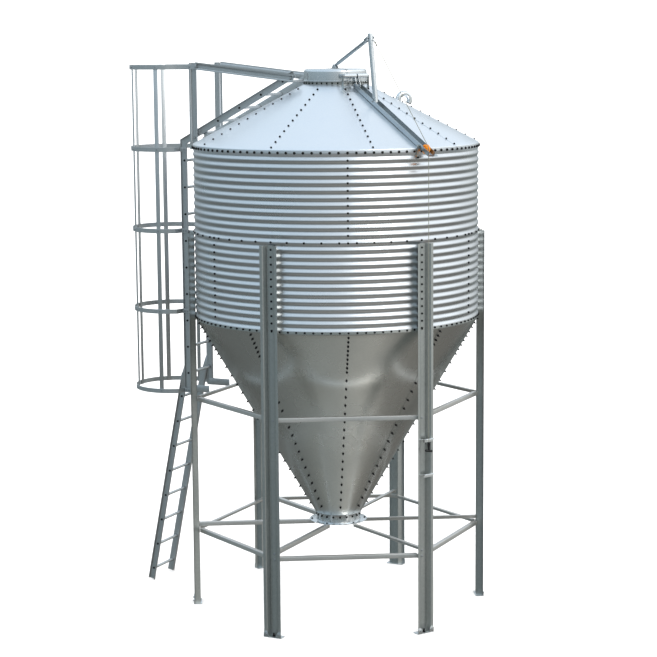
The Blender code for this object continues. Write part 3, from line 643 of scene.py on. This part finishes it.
# FILLING NECK
# A rolled collar with a turned-out lip, bolted round inside the roof's edge; the lid
# rests on its lip.
COLLAR_R, COLLAR_LOW, COLLAR_TOP = 0.3008, 5.0855, 5.1365
bm = bmesh.new()
lathe(bm, [(COLLAR_R - 0.004, COLLAR_LOW), (COLLAR_R, COLLAR_LOW), (COLLAR_R, COLLAR_TOP - 0.004),
           (COLLAR_R + 0.006, COLLAR_TOP - 0.004), (COLLAR_R + 0.006, COLLAR_TOP), (COLLAR_R - 0.004, COLLAR_TOP)],
      soften=0.0008)
make("neck_collar", bm, dipped, nodes=["roof_collar"])
neck_bolt = bolt("neck_bolt", (0.0088, 0.0030, 12), (0.0070, 0.0055, 6))
bm = bmesh.new()
drive(bm, neck_bolt, [(place(az, COLLAR_R, 5.1205), outward(az)) for az in range(0, 360, 10)])
make("neck_bolts", bm, dark_bolt)

# VENT
# A drawn tube, 55 mm across, that comes up through the roof and bends back down past the
# plumb, so that rain stays out. A small plate holds it to the roof.
VENT_AZ, VENT_R, VENT_BEND, VENT_RAD = 110, 0.675, 0.0615, 0.0275


def sweep(bm, section, path, side, wall=0.0):
    """Carry a closed section of (u, v) points along a path that bends about side, with v
    along side. The ends are capped, or left open with a wall thickened inwards."""
    part = bmesh.new()
    side = Vector(side)
    spots = []
    for k, p in enumerate(path):
        ways = [(b - a).normalized() for a, b in zip(path[max(k - 1, 0):k + 1], path[max(k - 1, 0) + 1:k + 2])]
        way = sum(ways, Vector()).normalized()
        turn = Matrix((side.cross(way) / way.dot(ways[0]), side, way)).transposed().to_4x4()
        spots.append(Matrix.Translation(p) @ turn)
    strip(part, [spots[0] @ Vector((u, v, 0)) for u, v in section], closed=True)
    edges = first = part.edges[:]
    for a, b in zip(spots, spots[1:]):
        edges = push(part, edges, b @ a.inverted())
    if wall:
        bmesh.ops.recalc_face_normals(part, faces=part.faces)
        bmesh.ops.solidify(part, geom=part.faces[:], thickness=wall)
    else:
        bmesh.ops.edgeloop_fill(part, edges=first)
        bmesh.ops.edgeloop_fill(part, edges=edges)
    bmesh.ops.recalc_face_normals(part, faces=part.faces)
    merge(bm, part)


def rounded(radius, sides):
    turns = [2 * math.pi * k / sides for k in range(sides)]
    return [(radius * math.cos(a), radius * math.sin(a)) for a in turns]


bm = bmesh.new()
spring = roof_z(VENT_R - VENT_RAD) + 0.014
turns = [math.radians(180 - 213 * k / 20) for k in range(21)]
pipe = [place(VENT_AZ, VENT_R, spring - 0.042)]
pipe += [place(VENT_AZ, VENT_R + VENT_BEND + VENT_BEND * math.cos(a), spring + VENT_BEND * math.sin(a)) for a in turns]
sweep(bm, rounded(VENT_RAD, 24), pipe, sideward(VENT_AZ), wall=0.002)
vent_up = tipped(VENT_AZ, roof_out)
turned(bm, [(0.046, 0.046, 0.0018), (0.034, 0.0285, 0.004)], place(VENT_AZ, VENT_R, roof_z(VENT_R) + GAP), vent_up, 32)
make("vent_pipe", bm, bright_zinc, nodes=["roof_vent"])
bm = bmesh.new()
for turn in (20, 110, 200, 290):
    a = math.radians(turn)
    r = VENT_R + 0.039 * math.cos(a) * roof_out.z
    drive(bm, neck_bolt, [(place(VENT_AZ, r, roof_z(r) + 0.002, 0.039 * math.sin(a)), vent_up)])
make("vent_bolts", bm, dark_bolt)

# LID CHANNEL
# A folded channel lies on the roof in the plane of one leg, from the neck out past the
# rim. Two straps at its head hold the hinge's tube, which is in two lengths; at its foot
# the floor is cut away for the pulley, and a strap ties it down to the wall.
GEAR_AZ = 30
across = sideward(GEAR_AZ)
HINGE_R, HINGE_Z = 0.338, 5.189
PULLEY_AT, MAST_FOOT, APEX = (1.451, 4.540), (0.667, 4.953), (0.587, 5.545)


def gear(r, z, t=0.0):
    return place(GEAR_AZ, r, z, t)


channel_bed = [(r, roof_z(r) + 0.0006) for r in (0.352, 1.388, 1.500, 1.524)]
lift = tipped(GEAR_AZ, roof_out)
rolled_zinc = zinc("rolled_galvanised", "#c3c9cc", "#b3babd", 0.28, 10, 0.25, 0.03)
channel = bmesh.new()
edge = [(-0.035, 0.045), (-0.035, 0), (-0.020, 0), (0.020, 0), (0.035, 0), (0.035, 0.045)]
verts = strip(channel, [gear(*channel_bed[0]) + across * t + lift * h for t, h in edge])
round_off(channel, [verts[1], verts[4]], 0.004, 3)
edges = channel.edges[:]
for (r0, z0), (r1, z1) in zip(channel_bed, channel_bed[1:]):
    edges = push(channel, edges, Matrix.Translation(gear(r1, z1) - gear(r0, z0)))
slot_mid = (gear(*channel_bed[1]) + gear(*channel_bed[2])) / 2
slot = [f for f in channel.faces if (f.calc_center_median() - slot_mid).length < 0.003]
bmesh.ops.delete(channel, geom=slot, context="FACES")
turn_to(channel, -lift)
bmesh.ops.solidify(channel, geom=channel.faces[:], thickness=0.003)
bmesh.ops.recalc_face_normals(channel, faces=channel.faces)
make("roof_channel", channel, rolled_zinc, nodes=["lid_channel"])

bm = bmesh.new()
head = channel_bed[0][1]
for t in (-0.0230, 0.0195):
    strap = [(0.354, head + 0.002), (0.400, head - 0.0225), (0.400, head + 0.012), (0.352, HINGE_Z + 0.012),
             (0.326, HINGE_Z + 0.012), (0.326, HINGE_Z - 0.020)]
    slab(bm, [gear(r, z, t) for r, z in strap], across * 0.0035, 0.0006, (0.008, (3, 4)))
for t, long in ((-0.134, 0.140), (0.018, 0.116)):
    turned(bm, [(0.0205, 0.022, 0.0015), (0.022, 0.022, long - 0.003), (0.022, 0.0205, 0.0015)],
           gear(HINGE_R, HINGE_Z, t), across, 24)
turned(bm, [(0.0095, 0.0095, 0.294)], gear(HINGE_R, HINGE_Z, -0.147), across, 16)
make("hinge_tube", bm, bright_zinc)
bm = bmesh.new()
foot = roof_z(math.hypot(0.356, 0.146)) + 0.001
cheek = [(0.322, foot + 0.012), (0.356, foot), (0.356, HINGE_Z + 0.012), (0.322, HINGE_Z + 0.012)]
for t in (-0.1475, 0.1445):
    slab(bm, [gear(r, z, t) for r, z in cheek], across * 0.003, 0.0005, (0.012, (2, 3)))
for t0, t1 in ((-0.1445, -0.036), (0.036, 0.1445)):
    for z in (5.112, 5.128):
        slab(bm, [gear(r, z, t) for t, r in oblong(t0, 0.322, t1, 0.350)], up(0.004), 0.0008)
tie = [(1.3900, 4.5720), (1.3875, 4.5600), (1.3875, 4.4480)]
folded(bm, [gear(r, z, -0.040) for r, z in tie], 0.004, across * -0.018, 0.003, outward(GEAR_AZ))
cleat = ((1.384, 4.560), (1.398, 4.553), (1.398, 4.572), (1.384, 4.579))
slab(bm, [gear(r, z, -0.0352) for r, z in cleat], across * -0.022, 0.0006)
make("hinge_clamps", bm, dipped)

# Square-washered bolts close the hinge, dark ones hold the clamps and the tie.
square_bolt = bolt("square_bolt", (0.0170, 0.0030, 4), (0.0100, 0.0070, 6), (0.0050, 0.0050, 8))
bm = bmesh.new()
drive(bm, square_bolt, [(gear(HINGE_R, HINGE_Z, -0.147), -across), (gear(HINGE_R, HINGE_Z, 0.147), across)])
for pin in (PULLEY_AT, MAST_FOOT):
    drive(bm, frame_bolt, [(gear(*pin, -0.035), -across), (gear(*pin, 0.035), across)])
turned(bm, [(0.0040, 0.0040, 0.070)], gear(*PULLEY_AT, -0.035), across, 12)
make("gear_bolts", bm, zinc_bolt)
bm = bmesh.new()
drive(bm, neck_bolt, [(gear(0.336, 5.132, t), up(1)) for t in (-0.120, -0.060, 0.060, 0.120)])
drive(bm, wall_bolt, [(gear(1.3905, 4.465, -0.049), outward(GEAR_AZ)),
                      (gear(1.510, channel_bed[3][1] + 0.012, 0.035), across)])
make("clamp_bolts", bm, dark_bolt)

# LID
# A spun cap with a soft shoulder and a rolled edge, bright zinc like the gear. Two lugs
# swing it on the hinge's pin, and a clevis on top takes the pull rod.
LID_R, LID_LOW, LID_TOP = 0.303, 5.137, 5.258
CLEVIS_Z = 5.285
bm = bmesh.new()
shoulder = [(LID_R - 0.030 + 0.030 * math.sin(a), LID_TOP - 0.0335 + 0.030 * math.cos(a))
            for a in (math.radians(9 * k + 4) for k in range(10))]
skin = [(0, LID_TOP), (0.085, LID_TOP), (0.095, LID_TOP - 0.0025), (0.200, LID_TOP - 0.0028)] + shoulder
skin += [(LID_R, LID_LOW + 0.011)]
bead = [(LID_R + 0.0005 + 0.0042 * math.cos(a), LID_LOW + 0.0048 + 0.0046 * math.sin(a))
        for a in (math.radians(95 - 30 * k) for k in range(7))]
inner = [(LID_R - 0.0022, LID_LOW + 0.001), (LID_R - 0.0022, LID_TOP - 0.034), (LID_R - 0.012, LID_TOP - 0.0125),
         (LID_R - 0.034, LID_TOP - 0.0062), (0.095, LID_TOP - 0.0048), (0.085, LID_TOP - 0.0022), (0, LID_TOP - 0.0022)]
lathe(bm, skin + bead + inner, sides=96, closed=False)
for s in (-1, 1):
    lug = [(0.258, 5.172), (0.340, 5.172), (0.356, 5.178), (0.356, 5.200), (0.340, 5.206), (0.258, 5.206)]
    slab(bm, [gear(r, z, s * 0.1353) for r, z in lug], across * s * 0.006, 0.0008, (0.006, (1, 2, 3, 4)))
    ear = [(-0.036, LID_TOP - 0.0005), (0.036, LID_TOP - 0.0005), (0.036, LID_TOP + 0.006), (0.014, CLEVIS_Z + 0.012),
           (-0.014, CLEVIS_Z + 0.012), (-0.036, LID_TOP + 0.006)]
    slab(bm, [gear(r, z, s * 0.012) for r, z in ear], across * s * 0.005, 0.0008, (0.009, (3, 4)))
pad = [gear(r, LID_TOP - 0.0005, t) for r, t in oblong(-0.036, -0.030, 0.036, 0.030)]
slab(bm, pad, up(0.0035), 0.0008, (0.006, (0, 1, 2, 3)))
turned(bm, [(0.0042, 0.0042, 0.040)], gear(0, CLEVIS_Z, -0.020), across, 12)
make("lid_cap", bm, bright_zinc, body="lid", nodes=["lid"])
bm = bmesh.new()
drive(bm, neck_bolt, [(gear(0, CLEVIS_Z, -0.017), -across), (gear(0, CLEVIS_Z, 0.017), across)])
drive(bm, neck_bolt, [(gear(0.285, HINGE_Z, s * 0.1413), across * s) for s in (-1, 1)])
make("lid_bolts", bm, zinc_bolt, body="lid")

# PULL ROD
# A 35 mm tube with a flat tongue in the clevis and a fork that straddles the mast's head.
bm = bmesh.new()
foot, apex = gear(0, CLEVIS_Z), gear(*APEX)
rod_way = (apex - foot).normalized()
rod_up = across.cross(rod_way)
rod_up = rod_up if rod_up.z > 0 else -rod_up
turned(bm, [(0.0150, 0.0175, 0.003), (0.0175, 0.0175, (apex - foot).length - 0.116), (0.0175, 0.0150, 0.003)],
       foot + rod_way * 0.050, rod_way, 24)


def flat_end(pin, near, far, t, thick):
    """Flat bar along the rod, from near its middle to a rounded tip past the pin."""
    bar = [pin + rod_way * d + rod_up * v + across * t for d, v in oblong(near, -0.012, far, 0.012)]
    slab(bm, bar, across * thick, 0.0006, (0.0108, (1, 2)))


flat_end(foot, 0.060, -0.012, -0.006, 0.012)
flat_end(apex, -0.064, 0.013, -0.035, 0.005)
flat_end(apex, -0.064, 0.013, 0.030, 0.005)
yoke = [apex - rod_way * 0.064 + rod_up * v + across * t for t, v in oblong(-0.0302, -0.012, 0.0302, 0.012)]
slab(bm, yoke, rod_way * 0.007, 0.0006)
make("pull_tube", bm, rolled_zinc, body="pull_rod", nodes=["pull_rod"])

# MAST
# A 48 mm tube on a cross pin in the channel, capped, with the bolt that the fork swings on
# and an eye for the rope at its head.
bm = bmesh.new()
mast_foot = gear(*MAST_FOOT)
mast_way = (apex - mast_foot).normalized()
tall = (5.5845 - MAST_FOOT[1]) / mast_way.z + 0.010
turned(bm, [(0.0225, 0.024, 0.0015), (0.024, 0.024, tall - 0.0045), (0.024, 0.0225, 0.0015), (0.0225, 0.019, 0.0008)],
       mast_foot - mast_way * 0.010, mast_way, 32)
turned(bm, [(0.0070, 0.0070, 0.0634)], gear(*MAST_FOOT, -0.0317), across, 12)
turned(bm, [(0.0060, 0.0060, 0.078)], apex - across * 0.039, across, 12)
drive(bm, frame_bolt, [(apex - across * 0.0355, -across), (apex + across * 0.0355, across)])
turned(bm, [(0.0036, 0.0036, 0.038)], gear(0.598, 5.521), gear(0.640, 5.518) - gear(0.598, 5.521), 10)
lathe(bm, [(0.0080 + v, u) for u, v in rounded(0.0030, 10)], gear(0.6440, 5.5175), across, outward(GEAR_AZ), 20)
make("mast_tube", bm, bright_zinc, body="mast", nodes=["mast"])

# PULLEY
# A moulded wheel in orange nylon: a rope groove, a sunk web and a hub that fills the
# channel. Moulded nylon keeps a low, even gloss.
orange_nylon = bare("orange_nylon", "#e08a1c", 0.42, 0.0, 0.02, 0.05)
half = [(0.0045, 0.0314), (0.0120, 0.0314), (0.0130, 0.0155), (0.0180, 0.0150), (0.0200, 0.0095), (0.0280, 0.0095),
        (0.0300, 0.0150), (0.0420, 0.0150), (0.0430, 0.0140), (0.0430, 0.0125), (0.0370, 0.0060), (0.0355, 0.0030)]
bm = bmesh.new()
lathe(bm, half + [(r, -t) for r, t in reversed(half)], gear(*PULLEY_AT), across, up(1), 48)
make("pulley", bm, orange_nylon, body="pulley", nodes=["pulley_wheel"], angle=30)

# ROPES
# Laid polyester, 6 mm, weathered to a grey-green. One length runs from the mast's eye over
# the pulley, the other hangs from it to the handle.
lay, t, shader, where = blank("laid_polyester")
wear = add(t, "TexNoise", {"Vector": where, "Scale": 22.0, "Detail": 3.0})
tone = add(t, "Mix", {"Factor": wear.outputs["Fac"], "A": colour("#5f6158"), "B": colour("#7c7e74")}, data_type="RGBA")
t.links.new(tone.outputs["Result"], shader.inputs["Base Color"])
# the strands' twist, one ridge every 7 mm
strand = add(t, "TexWave", {"Vector": where, "Scale": 45.0, "Distortion": 1.5}, bands_direction="DIAGONAL")
bump = add(t, "Bump", {"Height": strand.outputs["Fac"], "Strength": 0.6, "Distance": 0.001})
t.links.new(bump.outputs["Normal"], shader.inputs["Normal"])
shader.inputs["Roughness"].default_value = 0.85

ROPE_RAD, HANDLE_TOP = 0.003, 1.841
GROOVE_R = 0.0355
around_r = GROOVE_R + ROPE_RAD + GAP
ROPE_R, FALL_TOP = PULLEY_AT[0] + around_r, PULLEY_AT[1] - GAP
eye = (0.6505, 5.516)
run = (PULLEY_AT[0] - eye[0], PULLEY_AT[1] - eye[1])
touch = math.atan2(run[1], run[0]) + math.pi - math.acos(around_r / math.hypot(*run))
arc = [touch * (1 - k / 16) for k in range(17)]
route = [gear(*eye)]
route += [gear(PULLEY_AT[0] + around_r * math.cos(a), PULLEY_AT[1] + around_r * math.sin(a)) for a in arc]
bm = bmesh.new()
sweep(bm, rounded(ROPE_RAD, 10), route, across)
down = (route[1] - route[0]).normalized()
for along_rope in (0.020, 0.048):
    turned(bm, [(0.0080, 0.0080, 0.010)], route[0] + down * along_rope, down, 10)
    turned(bm, [(0.0035, 0.0035, 0.026)], route[0] + down * (along_rope + 0.005) - across * 0.013, across, 8)
over_roof = make("rope_over", bm, lay, body=None, nodes=["rope_over_roof"])
bm = bmesh.new()
fall = [gear(ROPE_R, FALL_TOP + (HANDLE_TOP + GAP - FALL_TOP) * k / 24) for k in range(25)]
sweep(bm, rounded(ROPE_RAD, 10), fall, across)
falling = make("rope_fall", bm, lay, body=None, nodes=["rope_down"])
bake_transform(over_roof)
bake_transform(falling)

# HANDLE
# A black moulded T. The rope is knotted into its stem; nylon again, a little shinier where
# hands have worn it.
black_nylon = bare("black_nylon", "#0b0b0d", 0.42, 0.0, 0.015, 0.08)
bm = bmesh.new()
turned(bm, [(0.0095, 0.0135, 0.003), (0.0135, 0.0130, 0.018), (0.0130, 0.0112, 0.020), (0.0112, 0.0112, 0.028),
            (0.0112, 0.0125, 0.010)], gear(ROPE_R, HANDLE_TOP - 0.001), up(-1), 20)
askew = (across - up(0.17)).normalized()
turned(bm, [(0.0065, 0.0105, 0.003), (0.0105, 0.0122, 0.006), (0.0122, 0.0116, 0.031), (0.0116, 0.0122, 0.031),
            (0.0122, 0.0105, 0.006), (0.0105, 0.0065, 0.003)], gear(ROPE_R, 1.7582) - askew * 0.040, askew, 20)
make("handle_grip", bm, black_nylon, body="handle", nodes=["pull_handle"], angle=50)

# LADDERS
# Folded channel rails open away from each other, with tube rungs let into their webs and
# bolted at both ends. All of it is dipped after folding.
# the last number is how far the painted shade in fold corners reaches
pale_zinc = zinc("pale_galvanised", "#e2e4e4", "#cfd2d3", 0.38, 12, 0.25, 0.10, 0.012)
LADDER_AZ, LADDER_R, RAIL_OUT, RAIL_IN, RAIL_HALF = -120, 1.566, 0.2375, 0.2125, 0.034
FOOT_OUT, FOOT_IN = 0.2092, 0.1842
ARM_AT = 0.2087             # inner face of the arms, plates and brackets on the rails
sideways = sideward(LADDER_AZ)
ROOF_LADDER = ((1.594, 4.529), (0.33, 5.205))
FOOT_LADDER = ((1.617, 2.20), (2.063, 0.008))
roof_way = (Vector(ROOF_LADDER[1]) - Vector(ROOF_LADDER[0])).normalized()
ROOF_RISE = roof_way.y / roof_way.x
HEAD_Z = ROOF_LADDER[0][1] + (LADDER_R - ROOF_LADDER[0][0]) * ROOF_RISE
mitre_r, mitre_z = Vector((roof_way.x, roof_way.y + 1)).normalized()
mitre = outward(LADDER_AZ) * mitre_r + up(mitre_z)
SAW = mitre * 0.00015       # half the gap between the two mitred ladders


def ladder(r, z, t=0.0):
    return place(LADDER_AZ, r, z, t)


def rails(bm, low, high, out, cut=None):
    """Two folded channels along a line; cut is the plane (point, way) they stop at."""
    a, b = ladder(*low), ladder(*high)
    face = (b - a).normalized().cross(sideways)
    web = out - 0.025
    for s in (-1, 1):
        corners = ((-RAIL_HALF, out), (-RAIL_HALF, web), (RAIL_HALF, web), (RAIL_HALF, out))
        folded(bm, [a + face * u + sideways * s * v for u, v in corners], 0.0045, b - a, 0.003, sideways * s, cut)


def rungs(bm, points, inner):
    for r, z in points:
        turned(bm, [(0.014, 0.014, 2 * inner + 0.003)], ladder(r, z, -inner - 0.0015), sideways, 16)


def flats(bm, outline, inner, thick, **rest):
    """The same plate on the inner face of each rail."""
    for s in (-1, 1):
        slab(bm, [ladder(r, z, s * inner) for r, z in outline], sideways * s * thick, 0.0006, **rest)


def along(line, first, step, count):
    """Points set out along a line of (r, z) from its start."""
    a, b = Vector(line[0]), Vector(line[1])
    return [tuple(a + (b - a).normalized() * (first + step * k)) for k in range(count)]


head = ladder(LADDER_R, HEAD_Z)
RUNGS = [(LADDER_R, 2.212 + 0.268 * k) for k in range(9)]
bm = bmesh.new()
rails(bm, (LADDER_R, 2.035), (LADDER_R, HEAD_Z + 0.03), RAIL_OUT, (head - SAW, mitre))
rungs(bm, RUNGS, RAIL_IN)
at_wall = math.sqrt(CREST_R ** 2 - ARM_AT ** 2) + 0.0006
arms = [(at_wall, LADDER_R + 0.020, z, 0.022) for z in (RING_JOINT_Z - PITCH, RING_JOINT_Z - 11 * PITCH)]
for r_in, r_out, z, half in arms + [(1.330, 1.570, 2.060, 0.035)]:
    flats(bm, oblong(r_in, z - half, r_out, z + half), ARM_AT, 0.0035, round_ends=(0.010, (1, 2)))
make("ladder_wall", bm, pale_zinc, nodes=["ladder_upright"])

foot_rungs = along(FOOT_LADDER, 0.244, 0.268, 8)
bm = bmesh.new()
rails(bm, FOOT_LADDER[1], FOOT_LADDER[0], FOOT_OUT)
rungs(bm, foot_rungs, FOOT_IN)
fish = [(LADDER_R + 0.017, 2.075), (1.668, 2.075), (1.660, 2.16), (1.600, 2.33), (LADDER_R + 0.017, 2.33)]
flats(bm, fish, ARM_AT, 0.0033, round_ends=(0.012, (1, 2, 3)))
make("ladder_lower", bm, pale_zinc, nodes=["ladder_foot"])

roof_rungs = along(ROOF_LADDER, 0.20, 0.272, 5)
bm = bmesh.new()
rails(bm, (LADDER_R - roof_way.x * 0.03, HEAD_Z - roof_way.y * 0.03), ROOF_LADDER[1], RAIL_OUT, (head + SAW, -mitre))
rungs(bm, roof_rungs, RAIL_IN)
bracket = [(r, roof_z(math.hypot(r, ARM_AT)) + 0.0006) for r in (1.30, 1.34)]
flats(bm, bracket + [(r, HEAD_Z + (r - LADDER_R) * ROOF_RISE) for r in (1.34, 1.30)], ARM_AT, 0.0035)
make("ladder_over_roof", bm, pale_zinc, nodes=["ladder_roof"])

bm = bmesh.new()
for s in (-1, 1):
    spots = [ladder(r, z, s * 0.2155) for r, z in RUNGS + roof_rungs]
    spots += [ladder(r, z, s * (FOOT_IN + 0.003)) for r, z in foot_rungs]
    drive(bm, frame_bolt, [(p, sideways * s) for p in spots])
make("ladder_bolts", bm, dark_bolt)

# HANDRAILS
# Hat sections folded from 2.5 mm sheet: a post bolted up each side of the roof ladder and a
# rail that runs in to the ladder's head at the neck.
POST_R, POST_IN, POST_LOW, POST_TOP = 1.430, RAIL_OUT + GAP, 4.47, 5.318
POST_HAT = [(-0.044, 0.0195), (-0.028, 0.0195), (-0.022, 0.0), (0.022, 0.0), (0.028, 0.0195), (0.044, 0.0195)]
RAIL_HAT = [(-0.037, 0.0185), (-0.022, 0.0185), (-0.017, 0.0), (0.017, 0.0), (0.022, 0.0185), (0.037, 0.0185)]
for name, s in (("near", 1), ("far", -1)):
    bm = bmesh.new()
    folded(bm, [ladder(POST_R + u, POST_LOW, s * (POST_IN + v)) for u, v in POST_HAT], 0.003, up(POST_TOP - POST_LOW),
           0.0025, sideways * s)
    folded(bm, [ladder(1.40, 5.288 + u, s * (POST_IN + 0.0008 + v)) for u, v in RAIL_HAT], 0.003,
           ladder(0.33, 5.167) - ladder(1.40, 5.288), 0.0025, sideways * s)
    drive(bm, frame_bolt, [(ladder(POST_R, z, s * (POST_IN + 0.0025)), sideways * s) for z in (4.500, 4.585, 5.288)])
    drive(bm, frame_bolt, [(ladder(0.360, 5.170, s * (POST_IN + 0.0035)), sideways * s)])
    make(f"{name}_handrail", bm, pale_zinc, nodes=[f"handrail_{name}"])

# CAGE
# Five hoops of 45 mm flat bar, bent round and bolted to the ladder's rails (the top one to
# the posts), tied inside by five flat strips.
CAGE_R, CAGE_OUT, HOOP_W, HOOP_T = 0.3950, 1.85, 0.045, 0.005
HOOP_Z = [2.04 + 0.809 * k for k in range(5)]
bar_edge = [(-0.0025, -0.0215), (-0.0015, -0.0225), (0.0015, -0.0225), (0.0025, -0.0215),
            (0.0025, 0.0215), (0.0015, 0.0225), (-0.0015, 0.0225), (-0.0025, 0.0215)]
fixings = bmesh.new()
STRIP_AT, STRIP_FACE = (-100, -50, 0, 50, 100), 0.3900


def spoke(turn):
    """Direction out from the cage's middle, turn degrees round from its front."""
    a = math.radians(turn)
    return outward(LADDER_AZ) * math.cos(a) + sideways * math.sin(a)


for n, z in enumerate(HOOP_Z):
    top = n == len(HOOP_Z) - 1
    beside = (POST_IN + 0.022 if top else RAIL_OUT) + GAP + HOOP_T / 2
    back, front = (POST_R - 0.039, POST_R + 0.06) if top else (LADDER_R - 0.036, LADDER_R + 0.038)
    held_at = (POST_R - 0.034, POST_R + 0.034) if top else (LADDER_R - 0.014, LADDER_R + 0.014)
    bend = [math.radians(125 - 250 * k / 40) for k in range(41)]
    line = [(back, beside), (front, beside)] + [(CAGE_OUT + CAGE_R * math.cos(a), CAGE_R * math.sin(a)) for a in bend]
    line += [(front, -beside), (back, -beside)]
    bm = bmesh.new()
    sweep(bm, bar_edge, [ladder(r, z, t) for r, t in line], (0, 0, 1))
    make(f"hoop_{n + 1}", bm, pale_zinc, nodes=[f"cage_hoop_{n + 1}"])
    for s in (-1, 1):
        drive(fixings, frame_bolt, [(ladder(r, z, s * (beside + HOOP_T / 2)), sideways * s) for r in held_at])
    hub = ladder(CAGE_OUT, z)
    drive(fixings, neck_bolt, [(hub + spoke(turn) * (CAGE_R + HOOP_T / 2), spoke(turn)) for turn in STRIP_AT])
make("cage_bolts", fixings, zinc_bolt)
foot = ladder(CAGE_OUT, HOOP_Z[0] - HOOP_W / 2)
for n, turn in enumerate(STRIP_AT):
    bm = bmesh.new()
    end = oblong(-0.022, STRIP_FACE - 0.004, 0.022, STRIP_FACE)
    slab(bm, [foot + spoke(turn) * v + spoke(turn + 90) * u for u, v in end],
         up(HOOP_Z[-1] - HOOP_Z[0] + HOOP_W), 0.0007)
    make(f"strip_{n + 1}", bm, pale_zinc, nodes=[f"cage_strip_{n + 1}"])
